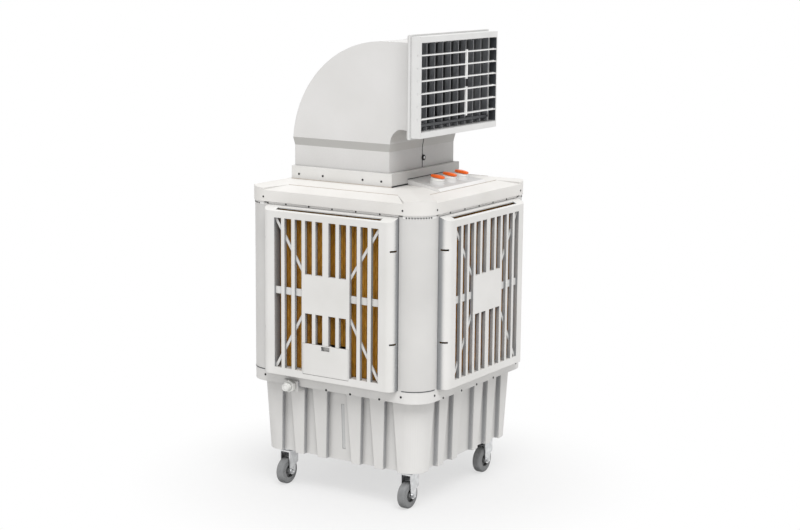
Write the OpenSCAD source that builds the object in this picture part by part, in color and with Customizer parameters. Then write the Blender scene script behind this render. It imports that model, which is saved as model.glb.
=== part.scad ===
// Portable evaporative cooler: a fluted water tank on castors, four louvred pad panels between
// rounded corner posts, and a swept hood that turns the air forward through a louvred outlet.
// Millimetres, +Z up, floor at z = 0 under the body's centre, outlet and controls towards -Y.

/* [Body] */
// Width of the body across the cover's skirt, the same both ways
body_w = 590; // [576:2:620]
// Radius of the body's upright corners
corner_r = 70; // [60:1:73]
// How far a grille panel stands out beyond the cover's skirt
panel_out = 27; // [22:1:34]
// Height from the floor to the underside of the tank
tank_z = 108; // [104:1:125]
// Height of the tank, from its underside to the top of its rim
tank_h = 239; // [220:1:280]
// Height of the corner posts between the tank's rim and the cover
post_h = 474; // [440:1:520]

/* [Tank] */
// Wall of the moulded tank
tank_wall = 4; // [3:0.5:6]
// Height of the rim band round the top of the tank
rim_h = 33; // [26:1:44]
// How far the fluted wall stands back from the cover's skirt, at its top
tank_in = 28; // [24:1:34]
// How much further the wall leans in by the tank's underside
tank_taper = 10; // [4:1:16]
// Corner radius of the tank at its underside
tank_r = 50; // [36:1:58]
// Depth of the flutes in the tank's wall
flute_d = 14; // [8:1:18]
// Width of a narrow flute at its top
flute_w = 28; // [20:1:34]
// Width of the middle flute at its top
flute_mid_w = 66; // [50:1:80]
// How much wider a flute is at its foot
flute_flare = 20; // [8:1:26]
// Distance of the inner narrow flutes from the middle of the face
flute_x1 = 95; // [88:1:102]
// Distance of the outer narrow flutes from the middle of the face
flute_x2 = 171; // [164:1:178]
// Length of the water level recess in the middle flute
level_h = 130; // [80:1:150]
// Width of the water level recess
level_w = 10; // [6:1:16]

/* [Water inlet] */
// Distance of the inlet from the middle of the left face
inlet_y = 133; // [128:1:138]
// Radius of the threaded stub, a half-inch pipe thread
inlet_r = 10.4; // [8:0.1:13]
// Length of the threaded stub beyond its nut
inlet_len = 17; // [14:1:19]
// Size of the hexagon nut across its corners
nut_w = 36; // [32:1:40]

/* [Castors] */
// Diameter of a castor wheel
wheel_d = 75; // [60:1:80]
// Width of a castor wheel
wheel_w = 24; // [20:1:30]
// Distance of each swivel from the body's middle, both ways
castor_pos = 205; // [190:1:212]
// How far the axle trails behind its swivel
castor_trail = 16; // [10:1:24]
// Thickness of the pressed castor steel
castor_steel = 3; // [2:0.5:4]
// Radius of the wheel axle
axle_r = 4; // [3:0.5:5]

/* [Corner posts] */
// How far a post stands back from the cover's skirt
post_in = 3; // [2:1:5]
// Width of a post along each face
post_w = 76; // [75:1:84]
// Wall of a hollow post
post_wall = 3; // [2:0.5:4]
// Shadow gap between a post's shoulder and the cover's skirt
shadow_gap = 4; // [2:1:8]

/* [Grille panels] */
// Wall of a moulded panel
panel_wall = 3.5; // [2.5:0.5:4.5]
// Gap between a panel and the posts beside it
panel_gap = 2; // [1:0.5:4]
// Radius of a panel's upright edges
panel_r = 22; // [16:1:26]
// How far a panel reaches in behind the line of the posts
panel_tuck = 9; // [6:1:14]
// Width of one slot
slot_w = 23; // [20:0.5:24]
// Width of a bar between slots
bar_w = 11.5; // [9:0.5:12]
// Width of the middle bar
mid_bar_w = 20; // [16:1:24]
// Depth of the bars
bar_d = 10; // [9:0.5:13]
// How far the braces and struts stand back from the bars' faces
brace_in = 6.5; // [4:0.5:7]
// Height of the slots
slot_h = 420; // [390:1:430]
// Height of the slots' foot above the tank's rim
slot_z = 21; // [19:1:28]
// Height of the blank plate in the middle of the grille
plate_h = 108; // [90:1:130]
// Height of the cross braces beside the plate
brace_h = 20; // [14:1:26]
// Width of the slanting struts
strut_w = 8; // [6:1:12]
// Width of the slit along the panel's sloping top
top_slit = 12; // [8:1:14]

/* [Fill door] */
// Height of the fill door
door_h = 86; // [70:1:96]
// Thickness of the fill door
door_t = 3; // [2:0.5:4]
// Width of the door's finger pocket
grip_w = 27; // [22:1:40]

/* [Cooling pads] */
// Thickness of a cooling pad
pad_t = 55; // [50:1:60]
// How far a pad stands behind its panel's face
pad_in = 27; // [24:1:30]

/* [Cover and controls] */
// Height of the cover's skirt, from its foot to its edge
skirt_h = 37; // [34:1:42]
// Rise of the cover's sloping top from the skirt's edge to the flat deck
crown_h = 15; // [13:0.5:18]
// Distance of the flat deck's front edge from the body's middle
deck_front = 180; // [172:1:190]
// Wall of the moulded cover
cover_wall = 3.5; // [2.5:0.5:5]
// Length of a side facet along the skirt's edge
facet_l = 464; // [440:2:476]
// Length of a side facet along its upper edge
facet_top_l = 358; // [320:2:390]
// Width of a side facet, seen from above
facet_w = 53; // [46:1:56]
// Depth of a side facet below the skirt's edge
facet_d = 5.5; // [4:0.5:7]
// Width of the console where it meets the collar
console_back_w = 196; // [186:1:220]
// Width of the console along its front edge
console_w = 252; // [230:1:290]
// Height of the console above the deck where it meets the collar
console_h = 14; // [12:0.5:16]
// Distance of the knobs' row from the collar
knob_in = 74; // [68:1:78]
// Diameter of a control knob
knob_d = 40; // [34:1:44]
// Distance between neighbouring knobs
knob_pitch = 64; // [56:1:66]

/* [Hood] */
// Width of the hood's flat-sided shell
hood_w = 346; // [336:2:352]
// Distance of the hood's back from the body's middle
hood_back = 214; // [204:1:220]
// Distance of the hood's neck front from the body's middle
hood_front = 109; // [102:1:114]
// Radius of the big bend at the back
hood_r = 298; // [270:1:310]
// Wall of the hood
hood_wall = 4; // [3:0.5:5]
// Height of the screwed collar
collar_h = 37; // [32:1:46]
// Height of the neck above the collar
neck_h = 58; // [44:1:70]
// Height of the undercut band between neck and shell
band_h = 22; // [16:1:28]
// How far the neck stands in from the shell
neck_in = 4; // [3:1:6]
// Height of the throat above the undercut band
throat_h = 65; // [56:1:74]
// Radius of the bend under the outlet
throat_r = 43; // [34:1:50]
// How far the hood's mouth widens on each side
flare = 31; // [30:1:34]
// Length over which the mouth widens
flare_l = 82; // [74:1:90]

/* [Fan] */
// Diameter of the fan's throat
fan_d = 305; // [290:1:308]
// Gap between blade tips and throat
tip_gap = 3; // [2:0.5:6]
// Number of fan blades
blades = 6; // [4:1:7]
// Blade pitch, in degrees
blade_pitch = 32; // [24:1:36]
// Diameter of the fan's hub
hub_d = 84; // [70:1:100]
// Diameter of the fan motor
motor_d = 104; // [90:1:120]
// Height of the fan motor
motor_h = 78; // [60:1:100]
// Radius of the fan shaft
shaft_r = 6; // [5:0.5:8]

/* [Outlet louvres] */
// Width of the outlet's opening
outlet_w = 400; // [396:1:402]
// Height of the outlet's opening
outlet_h = 237; // [220:1:240]
// Depth of the outlet frame
frame_d = 37; // [36:1:44]
// Thickness of the frame's side walls
frame_side = 4; // [3:0.5:5]
// Thickness of the frame's top and bottom rails
frame_rail = 16; // [13:1:20]
// Depth of a horizontal slat
slat_d = 16; // [15:0.5:16.5]
// Thickness of a horizontal slat
slat_t = 3; // [2.5:0.5:4]
// Distance of the slats' link bar from the middle
slat_link_x = 40; // [30:1:50]
// Depth of an upright vane
vane_d = 17; // [16:0.5:17.5]
// Thickness of an upright vane
vane_t = 2.5; // [2:0.5:3.5]
// Distance between neighbouring vanes
vane_pitch = 41; // [38:0.5:41.5]
// Radius of the louvre pivots
pivot_r = 2; // [1.5:0.25:2.5]

/* [Hidden] */
$fn = 48;

// Clearances: running fit of a pin, gap between loose faces, overlap of a cut past a surface
run = 0.05;
loose = 0.3;
cut = 1;

// Heights and half widths that the pieces share
half = body_w / 2;
rim_top = tank_z + tank_h;
rim_z = rim_top - rim_h;
post_top = rim_top + post_h;
cover_z = post_top + shadow_gap;
edge_z = cover_z + skirt_h;
deck_z = edge_z + crown_h;
deck_t = 4;
deck_under = deck_z - deck_t;
post_out = half - post_in;
panel_half = post_out - post_w - panel_gap;
face = half + panel_out;
panel_back = post_out - panel_tuck;

// Tank
wall_top = half - tank_in;
wall_foot = wall_top - tank_taper;
wall_h = rim_z - tank_z;
wall_lean = atan(tank_taper / wall_h);
flute_top_gap = 4;
flute_h = wall_h - flute_top_gap;
flute_r = 9;
level_d = 1.5;
level_z = 34;
boss_w = 48;
boss_h = 30;
boss_out = 6;
drain_pos = 120;
drain_r = 12;

// Castors
castor_plate = 62;
race_r = 19;
race_h = 7;
kingpin_r = 5;
kingpin_head_r = 9;
crown_t = 4;
crown_z = tank_z - castor_steel - race_h - loose;
axle_z = wheel_d / 2;
fork_gap = 2;
fork_w = wheel_w + 2 * (fork_gap + castor_steel);
fork_r = 10;
fork_back = race_r + 5;
leg_w = 28;
leg_front = castor_trail + 2 * axle_r;
web_z = axle_z + wheel_d / 3;

// Posts and cover: the post's tenon runs up inside the skirt to the seat under the cover
tenon_in = 5;
seat_z = edge_z - facet_d - cover_wall - 1;
ledge = 30;
room_half = post_out - ledge;

// Grille: five slots on each side of the middle bar
slots_side = 5;
blank_slots = 2;
slot_half = mid_bar_w / 2 + slots_side * slot_w + (slots_side - 1) * bar_w;
plate_half = mid_bar_w / 2 + blank_slots * (slot_w + bar_w) - bar_w / 3;
slot_foot = rim_top + slot_z;
slot_head = slot_foot + slot_h;
slot_mid = slot_foot + slot_h / 2 + 8;
grille_edge = 12;
panel_top = post_top - 3;
panel_slope_h = 12;
panel_slope = atan(panel_slope_h / (face - post_out));
notch_h = 5;
notch_in = 4;
notch_z = [130, 382];
slit_in = 8;

// Fill door, hung on a rod along its foot
door_half = plate_half;
door_gap = 0.6;
door_foot = slot_foot - 6;
door_pin_r = 2;
door_axis_z = door_foot + 4.5;
door_axis_y = face - door_t - door_pin_r + 0.5;
door_relief_r = 7;
door_pin_l = 5;
grip_h = 12;
grip_d = 8;

// Pads stand on the panels' floors, and the pipes that wet them lie on the pads
pad_front = face - pad_in;
pad_back = pad_front - pad_t;
pad_half = panel_half - panel_wall - 5;
pad_foot = rim_top + panel_wall + loose;
pad_top = panel_top - 10;
rail_z = pad_top + loose;
fill_half = door_half - 20;
fill_top = door_foot + door_h + 6;
pipe_r = 9;
pipe_bore = 7;
pipe_z = pad_top + loose + pipe_r;
pipe_pos = panel_back - 21;
pipe_end = 2 * (post_out - post_w) - 20 - pipe_pos;
riser_pos = (pipe_pos + pipe_end) / 2;
riser_r = 8;
riser_top = pipe_z - pipe_r - 8;

// Pump on the tank's floor
floor_z = tank_z + tank_wall;
pump_w = 56;
pump_h = 62;
strainer_w = 66;
strainer_h = 14;
spigot_h = 14;
riser_foot = floor_z + strainer_h + pump_h + spigot_h;

// Float valve behind the inlet
inlet_z = rim_z;
boss_face = post_out + boss_out;
valve_r = 11;
valve_x = wall_top - tank_wall - 8;
valve_l = 26;
ear_t = 4;
ear_gap = 9;
float_axis_x = valve_x - valve_l - 8;
float_pin_r = 2.5;
float_l = 118;
float_r = 30;
float_drop = 40;
nut_t = 12;
shank_r = inlet_r - 0.4;
thread_relief = 1;
thread_end = boss_face + nut_t + thread_relief;
stub_end = boss_face + nut_t + inlet_len;

// Hood: centre line of the duct in plan, and the heights up the hood
collar_wall = 3;
collar_half = hood_w / 2 + 5.5;
collar_front = hood_front + 10;
collar_back = hood_back + 1;
duct_y = (collar_back - collar_front) / 2;
collar_half_y = (collar_back + collar_front) / 2;
collar_top = deck_z + collar_h;
hood_z = collar_top + neck_h;
shell_z = hood_z + band_h;
hood_half = hood_w / 2;
hood_top = hood_z + hood_r;
bend_y = hood_back - hood_r;
throat_z = hood_z + throat_h;
flare_y = hood_front - 4;
mouth_y = flare_y + flare_l;
flare_r = (flare_l * flare_l + flare * flare) / (2 * flare);
flange_t = 4;
shell_mid_y = (hood_back - hood_front) / 2;
shell_half_y = (hood_back + hood_front) / 2;
upstand_h = 24;
upstand_t = 4;
deck_half = collar_half + 2;

// Fan hung under the deck
fan_r = fan_d / 2;
ring_t = 3;
bell_r = 18;
ring_h = 71;
ring_z = deck_under - ring_h;
ring_flange = 22;
bracket_t = 6;
bracket_z = ring_z - bracket_t;
arm_w = 22;
arms = 4;
hub_h = 40;
hub_z = ring_z + 15;
blade_t = 3;
blade_chord = 88;
camber_r = 130;
deck_back = duct_y + fan_r + ring_flange + 5;

// Console and controls: the console's foot ends just behind the front facet
console_front = half - facet_w - 1;
console_toe = 8;
console_lip = 0.5;
console_t = 3;
console_l = console_front - console_toe - collar_front;
console_slope = atan((console_h - console_lip) / console_l);
knob_y = collar_front + knob_in;
knob_z = deck_z + console_h - knob_in * tan(console_slope);
knob_boss_h = 10;
knob_base_h = 5;
knob_grip_w = 9;
knob_grip_h = 6;
spindle_r = 3;
spindle_l = 26;
switch_r = 15;
switch_h = 18;
box_half = knob_pitch + 42;
box_d = 64;
box_h = 44;
box_t = 3;

// Outlet frame and its louvres: the opening is at least as wide as its row of vanes needs
vane_n = 10;
vane_room = 7;
outlet_half = max(outlet_w / 2, (vane_n - 1) / 2 * vane_pitch + vane_d / 2 + vane_room);
outlet_z = (throat_z + hood_top) / 2;
frame_front = mouth_y + frame_d;
frame_half = outlet_half + frame_side;
frame_half_h = outlet_h / 2 + frame_rail;
rim_lip = 4.5;
rim_lip_t = 6;
slat_n = 6;
slat_pitch = outlet_h / (slat_n + 1);
slat_y = frame_front - slat_d / 2 - 1;
slat_half = outlet_half - 2;
crank = slat_d / 2 - 3;
crank_r = 1.5;
link_w = 7;
link_d = 5;
link_end = 6;
link_notch = 4.5;
vane_y = slat_y - slat_d / 2 - vane_d / 2 - 1.5;
vane_crank = vane_d / 2 - 3;
vane_half_h = outlet_h / 2 - 1;
vane_link_z = outlet_z - outlet_h / 2 + 15;
pivot_l = 5;
boss_l = 6;

body_white = "#e8e7e3";
tank_white = "#dcdcd8";
trim_white = "#f2f2ef";
pad_brown = "#a8772e";
vane_grey = "#4b4e52";
wheel_grey = "#8b8c8d";
zinc = "#c8cacb";
motor_grey = "#5c6166";

// A rectangle with rounded corners, centred
module round_rect(w, d, r) {
    square([w - 2 * r, d], center = true);
    square([w, d - 2 * r], center = true);
    for (x = [-1, 1], y = [-1, 1])
        translate([x * (w / 2 - r), y * (d / 2 - r)]) circle(r);
}

module round_box(w, d, h, r) {
    linear_extrude(h) round_rect(w, d, r);
}

module all_sides() {
    for (a = [0:90:270]) rotate(a) children();
}

// Draws a shape, given as height over distance from the middle, as a bar of length l along X
module along_x(l) {
    translate([-l / 2, 0, 0]) rotate([90, 0, 90]) linear_extrude(l) children();
}

module rod_x(r, l) {
    rotate([0, 90, 0]) cylinder(r = r, h = l, center = true);
}

// Tank: a tapered box with upright flutes that run out through its foot
module tapered_box(foot, top, h, r) {
    linear_extrude(h, scale = top / foot) round_rect(2 * foot, 2 * foot, r);
}

module flute_outline(w, grow) {
    foot = w / 2 + flute_flare / 2 + grow;
    top = w / 2 + grow;
    r = min(flute_r, w / 2) + grow;
    polygon([[-foot, -cut], [foot, -cut], [top, flute_h + grow - r], [-top, flute_h + grow - r]]);
    translate([-top + r, flute_h + grow - r - cut]) square([2 * (top - r), r + cut]);
    for (s = [-1, 1]) translate([s * (top - r), flute_h + grow - r]) circle(r);
}

module on_tank_wall(x, depth) {
    translate([x, -(wall_foot - depth), tank_z]) rotate([wall_lean + 90, 0, 0]) children();
}

module flutes(grow) {
    places = [[0, flute_mid_w], [flute_x1, flute_w], [-flute_x1, flute_w],
        [flute_x2, flute_w], [-flute_x2, flute_w]];
    all_sides() for (p = places)
        on_tank_wall(p[0], flute_d + grow)
            linear_extrude(flute_d + grow + tank_wall) flute_outline(p[1], grow);
}

module tank() {
    color(tank_white) difference() {
        union() {
            difference() {
                translate([0, 0, tank_z]) tapered_box(wall_foot, wall_top, wall_h, tank_r);
                flutes(0);
            }
            tank_rim();
            translate([-boss_face, inlet_y - boss_w / 2, inlet_z - boss_h / 2])
                cube([boss_face - wall_top + tank_wall, boss_w, boss_h]);
        }
        tank_cavity();
        translate([-boss_face - cut, inlet_y, inlet_z]) rotate([0, 90, 0])
            cylinder(r = shank_r + run, h = 2 * tank_in + boss_out);
        translate([drain_pos, drain_pos, tank_z - cut])
            cylinder(r = drain_r + run, h = tank_wall + 2 * cut);
        rotate(-90) on_tank_wall(level_w, flute_d + level_d)
            translate([-level_w / 2, level_z]) cube([level_w, level_h, 2 * level_d]);
    }
}

module tank_rim() {
    translate([0, 0, rim_z]) difference() {
        round_box(2 * post_out, 2 * post_out, rim_h, corner_r - post_in);
        translate([0, 0, -cut]) difference() {
            round_box(2 * (post_out - tank_wall), 2 * (post_out - tank_wall), rim_h - tank_wall + cut,
                corner_r - post_in - tank_wall);
            round_box(2 * wall_top, 2 * wall_top, rim_h, tank_r);
        }
    }
}

module tank_cavity() {
    difference() {
        translate([0, 0, floor_z]) tapered_box(wall_foot - tank_wall, wall_top - tank_wall,
            wall_h - tank_wall, tank_r - tank_wall);
        flutes(tank_wall);
    }
    translate([0, 0, rim_z - cut / 2]) round_box(2 * (wall_top - tank_wall), 2 * (wall_top - tank_wall),
        rim_h + cut, tank_r - tank_wall);
}

// Castors: pressed top plate with its kingpin, swivelling fork with a riveted axle, moulded wheel
module at_castor(sx, sy) {
    translate([sx * castor_pos, sy * castor_pos, 0]) children();
}

module castor_plates() {
    color(zinc) for (sx = [-1, 1], sy = [-1, 1]) at_castor(sx, sy) {
        translate([0, 0, tank_z - castor_steel]) round_box(castor_plate, castor_plate, castor_steel, 8);
        translate([0, 0, tank_z - castor_steel - race_h]) cylinder(r = race_r, h = race_h);
        translate([0, 0, crown_z - crown_t - cut]) cylinder(r = kingpin_r, h = crown_t + 2 * cut);
        translate([0, 0, crown_z - crown_t - loose - castor_steel])
            cylinder(r = kingpin_head_r, h = castor_steel);
    }
}

// A fork is one pressing: a channel closed at its back, trimmed from the side to two round-ended legs
module castor_fork(sx, sy) {
    color(zinc) at_castor(sx, sy) {
        difference() {
            intersection() {
                union() {
                    linear_extrude(crown_z) difference() {
                        fork_plan(0);
                        fork_plan(castor_steel);
                    }
                    translate([0, 0, crown_z - crown_t]) linear_extrude(crown_t) fork_plan(0);
                }
                rotate([90, 0, 0]) linear_extrude(2 * fork_w, center = true) fork_side();
            }
            translate([0, 0, crown_z - crown_t - cut]) cylinder(r = kingpin_r + run, h = crown_t + 2 * cut);
        }
        translate([-castor_trail, 0, axle_z]) rotate([90, 0, 0]) {
            cylinder(r = axle_r, h = fork_w, center = true);
            for (s = [-1, 1]) translate([0, 0, s * (fork_w + castor_steel) / 2])
                cylinder(r = 1.5 * axle_r, h = castor_steel, center = true);
        }
    }
}

module fork_plan(inset) {
    l = 4 * race_r;
    translate([fork_back - l / 2, 0]) round_rect(l - 2 * inset, fork_w - 2 * inset, fork_r - inset);
}

module fork_side() {
    leg_back = leg_w - leg_front;
    toe_z = axle_z + castor_steel;
    translate([leg_back - leg_w / 2, toe_z]) circle(leg_w / 2);
    polygon([[-leg_front, toe_z], [leg_back, toe_z], [leg_back, web_z - 3 * castor_steel],
        [fork_back, web_z], [fork_back, crown_z], [-leg_front, crown_z]]);
}

module castor_wheel(sx, sy) {
    tyre = 0.24 * wheel_d;
    edge = wheel_w / 4;
    web = wheel_w / 3;
    r = wheel_d / 2;
    color(wheel_grey) at_castor(sx, sy) translate([-castor_trail, 0, axle_z]) rotate([90, 0, 0])
        rotate_extrude() {
            translate([r - tyre, -wheel_w / 2 + edge]) square([tyre, wheel_w - 2 * edge]);
            translate([r - tyre, -wheel_w / 2]) square([tyre - edge, wheel_w]);
            for (s = [-1, 1]) translate([r - edge, s * (wheel_w / 2 - edge)]) circle(edge);
            translate([axle_r + run, -web / 2]) square([r - tyre, web]);
            translate([axle_r + run, -wheel_w / 2 - fork_gap + loose])
                square([1.2 * axle_r, wheel_w + 2 * (fork_gap - loose)]);
        }
}

// Corner posts: hollow columns with a tenon that runs up inside the cover's skirt
module post_outline(inset) {
    w = post_w - 2 * inset;
    intersection() {
        translate([post_out - post_w + inset, post_out - post_w + inset]) square(w);
        round_rect(2 * (post_out - inset), 2 * (post_out - inset), corner_r - post_in - inset);
    }
}

module post_tube(inset, h) {
    linear_extrude(h) difference() {
        post_outline(inset);
        post_outline(inset + post_wall);
    }
}

module corner_posts() {
    color(body_white) all_sides() {
        translate([0, 0, rim_top]) post_tube(0, post_h);
        translate([0, 0, post_top - 2 * tenon_in]) linear_extrude(2 * tenon_in) difference() {
            post_outline(post_wall / 2);
            post_outline(tenon_in + post_wall);
        }
        translate([0, 0, post_top]) post_tube(tenon_in, seat_z - post_top);
    }
}

// Top rails: flat bars between the posts that carry the cover's edge and hold the panels' tops
module top_rails() {
    span = 2 * (post_out - post_w);
    color(body_white) all_sides() translate([-span / 2, -panel_back + loose, rail_z])
        cube([span, post_wall, seat_z - rail_z]);
}

// Grille panels: a shallow tray with rounded upright edges, deep bars and a braced middle plate
module panel_outline(inset) {
    r = panel_r - inset;
    translate([-panel_half + inset + r, -face + inset])
        square([2 * (panel_half - inset - r), face - panel_back]);
    translate([-panel_half + inset, -face + inset + r])
        square([2 * (panel_half - inset), face - panel_back - r]);
    for (s = [-1, 1]) translate([s * (panel_half - inset - r), -face + inset + r]) circle(r);
}

module above_panel(drop) {
    translate([-body_w, -face, panel_top - panel_slope_h - drop]) rotate([panel_slope, 0, 0])
        translate([0, -body_w, 0]) cube([2 * body_w, 2 * body_w, body_w]);
}

module panel_tray() {
    difference() {
        translate([0, 0, rim_top]) linear_extrude(panel_top - rim_top) difference() {
            panel_outline(0);
            translate([-body_w, -panel_back]) square([2 * body_w, body_w]);
        }
        difference() {
            translate([0, 0, rim_top + panel_wall])
                linear_extrude(panel_top - rim_top - 2 * panel_wall) panel_outline(panel_wall);
            above_panel(panel_wall / cos(panel_slope));
        }
        above_panel(0);
        for (s = [-1, 1], z = notch_z)
            translate([s * (panel_half - panel_r / 2), -face + notch_in + panel_r / 2, rim_top + z])
                cube([panel_r + cut, panel_r, notch_h], center = true);
        translate([-slot_half, -face + slit_in, panel_top - 2 * panel_slope_h])
            cube([2 * slot_half, top_slit, 3 * panel_slope_h]);
    }
}

module slot_outline() {
    for (s = [-1, 1], i = [0:slots_side - 1])
        translate([s * (mid_bar_w / 2 + slot_w / 2 + i * (slot_w + bar_w)), slot_mid - 8])
            square([slot_w, slot_h], center = true);
}

// The field of slots, grown on all sides
module field_outline(grow) {
    translate([-slot_half - grow, slot_foot - grow]) square([2 * (slot_half + grow), slot_h + 2 * grow]);
}

module plate_outline() {
    translate([0, slot_mid]) square([2 * plate_half, plate_h], center = true);
}

// The cross brace, and struts from the corners of the slots to the corners of the plate
module brace_outline() {
    translate([0, slot_mid]) square([2 * slot_half + 2, brace_h], center = true);
    for (sx = [-1, 1], up = [0, 1]) {
        z1 = up ? slot_head : slot_foot;
        z0 = slot_mid + (up ? 1 : -1) * plate_h / 2;
        run_x = slot_half - plate_half;
        translate([sx * plate_half, z0]) rotate(atan2(z1 - z0, sx * run_x))
            translate([-strut_w, -strut_w / 2]) square([norm([run_x, z1 - z0]) + 2 * strut_w, strut_w]);
    }
}

module upright(depth, from) {
    translate([0, -face + from, 0]) rotate([90, 0, 0]) mirror([0, 0, 1]) linear_extrude(depth) children();
}

module door_opening(gap) {
    translate([-door_half - gap, door_foot - gap]) square([2 * (door_half + gap), door_h + 2 * gap]);
}

module grille(with_door) {
    color(body_white) {
        difference() {
            union() {
                panel_tray();
                upright(bar_d, 0) field_outline(grille_edge);
                upright(pad_in - loose, 0) difference() {
                    field_outline(panel_wall);
                    field_outline(0);
                }
            }
            upright(brace_in + cut, -cut) difference() {
                slot_outline();
                plate_outline();
            }
            upright(bar_d, brace_in - cut / 2) difference() {
                slot_outline();
                plate_outline();
                brace_outline();
            }
            if (with_door) {
                upright(pad_in + cut, -cut) door_opening(door_gap);
                translate([0, -door_axis_y, door_axis_z]) {
                    rod_x(door_relief_r, 2 * (door_half + door_gap));
                    rod_x(door_pin_r + run, 2 * (door_half + door_gap + door_pin_l + cut));
                }
            }
        }
    }
}

module fill_door() {
    color(body_white) rotate(-90) {
        difference() {
            union() {
                upright(door_t, 0) door_opening(0);
                translate([-grip_w / 2 - door_t, -face + door_t, door_foot + door_h - grip_h - 2 * door_t])
                    cube([grip_w + 2 * door_t, grip_d - door_t / 2, grip_h + 2 * door_t]);
            }
            translate([-grip_w / 2, -face - cut, door_foot + door_h - grip_h - door_t])
                cube([grip_w, grip_d + cut, grip_h]);
        }
        translate([0, -door_axis_y, door_axis_z]) {
            rod_x(door_pin_r + 0.3, 2 * door_half);
            rod_x(door_pin_r, 2 * (door_half + door_pin_l));
        }
    }
}

// Cooling pads: corrugated cellulose blocks, the left one cut away behind the fill door
module cooling_pads() {
    color(pad_brown) for (a = [0:90:270]) rotate(a) difference() {
        translate([-pad_half, -pad_front, pad_foot]) cube([2 * pad_half, pad_t, pad_top - pad_foot]);
        if (a == 270) translate([-fill_half, -pad_front - cut, pad_foot - cut])
            cube([2 * fill_half, pad_t + 2 * cut, fill_top - pad_foot + cut]);
    }
}

// Cover: a skirted lid that slopes up to a flat deck, with a flat facet sunk along each side
module hipped(foot, r, base_z, eaves_z, top_z) {
    sides = [[0, deck_front], [90, deck_half], [180, deck_back], [270, deck_half]];
    difference() {
        translate([0, 0, base_z]) round_box(2 * foot, 2 * foot, top_z - base_z, r);
        for (s = sides) rotate(s[0]) translate([0, -foot, eaves_z])
            rotate([atan((top_z - eaves_z) / (foot - s[1])), 0, 0])
                translate([-2 * foot, -foot, 0]) cube([4 * foot, 3 * foot, foot]);
    }
}

// The room under the cover: the skirt's box up to the ledge on the posts, then a taper up to the deck
module cover_room() {
    w = body_w - 2 * cover_wall;
    translate([0, 0, cover_z - cut]) round_box(w, w, seat_z - cover_z + cut, corner_r - cover_wall);
    hipped(room_half, corner_r - ledge, seat_z - cut, seat_z, deck_under);
}

// A facet's plane rises from below the skirt's edge until it meets the sloping top, whose grade is given
module facet_cut(grade) {
    rise = facet_d + facet_w * grade;
    tilt = atan(rise / facet_w);
    on = 1.3;
    inner = facet_l / 2 - on * (facet_l - facet_top_l) / 2;
    translate([0, -half, edge_z - facet_d]) rotate([tilt, 0, 0]) linear_extrude(2 * rise)
        polygon([[-facet_l / 2, -facet_w], [facet_l / 2, -facet_w], [facet_l / 2, 0],
            [inner, on * facet_w / cos(tilt)], [-inner, on * facet_w / cos(tilt)], [-facet_l / 2, 0]]);
}

module top_cover() {
    color(body_white) difference() {
        union() {
            difference() {
                hipped(half, corner_r, cover_z, edge_z, deck_z);
                facet_cut(crown_h / (half - deck_front));
                for (a = [-90, 90]) rotate(a) facet_cut(crown_h / (half - deck_half));
                rotate(180) facet_cut(crown_h / (half - deck_back));
                cover_room();
            }
            translate([-upstand_half(0), duct_y - upstand_half(1), deck_z - cut])
                cube([2 * upstand_half(0), 2 * upstand_half(1), upstand_h + cut]);
        }
        translate([0, duct_y, deck_z + upstand_h / 2])
            cube([2 * (upstand_half(0) - upstand_t), 2 * (upstand_half(1) - upstand_t), upstand_h + 0.01],
                center = true);
        translate([0, duct_y, deck_under - cut]) cylinder(r = fan_r + ring_t, h = deck_t + upstand_h);
        translate([-box_half + box_t, -knob_y - box_d / 2 + box_t, seat_z])
            cube([2 * (box_half - box_t), box_d - 2 * box_t, deck_z - seat_z + cut]);
    }
}

function upstand_half(axis) = (axis == 0 ? collar_half : collar_half_y) - collar_wall - loose;

// Controls: a wedge in front of the collar that runs out on the sloping cover, with a boss for each knob
module console_plan() {
    back = -collar_front - loose;
    polygon([[-console_back_w / 2, back], [console_back_w / 2, back], [console_w / 2, -console_front],
        [-console_w / 2, -console_front]]);
}

module console_side() {
    foot_z = edge_z + crown_h * (half - console_front) / (half - deck_front);
    polygon([[-collar_front - loose, deck_z], [-collar_front - loose, deck_z + console_h],
        [-console_front + console_toe, deck_z + console_lip], [-console_front, foot_z],
        [-deck_front, deck_z]]);
}

module control_console() {
    color(body_white) difference() {
        union() {
            intersection() {
                linear_extrude(2 * deck_z) console_plan();
                along_x(2 * console_w) console_side();
            }
            for (i = [-1:1]) on_console(i) translate([0, 0, -console_t])
                cylinder(r = knob_d / 2 + 1, h = knob_boss_h + console_t);
        }
        intersection() {
            translate([0, 0, -console_t]) along_x(console_back_w - 2 * console_t) console_side();
            translate([-body_w, -console_front + 6 * console_t, 0])
                cube([2 * body_w, console_front - collar_front - 8 * console_t, 2 * deck_z]);
        }
        for (i = [-1:1]) on_console(i) cylinder(r = spindle_r + 1.5, h = 4 * console_h, center = true);
    }
}

module on_console(i) {
    translate([i * knob_pitch, -knob_y, knob_z]) rotate([console_slope, 0, 0]) children();
}

module knob(i) {
    r = knob_d / 2;
    color(trim_white) on_console(i) translate([0, 0, knob_boss_h + loose]) {
        cylinder(r1 = r, r2 = r - 1.5, h = knob_base_h);
        intersection() {
            translate([-knob_grip_w / 2, -r, 0]) cube([knob_grip_w, 2 * r, knob_base_h + knob_grip_h]);
            cylinder(r = r - 1, h = 2 * (knob_base_h + knob_grip_h));
        }
        translate([0, 0, -spindle_l - knob_boss_h])
            cylinder(r = spindle_r, h = spindle_l + knob_boss_h + cut);
    }
}

module rotary_switches() {
    color(motor_grey) for (i = [-1:1]) on_console(i) translate([0, 0, -spindle_l - 2]) difference() {
        cylinder(r = switch_r, h = switch_h);
        translate([0, 0, 2]) cylinder(r = spindle_r + run, h = switch_h);
    }
}

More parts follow.
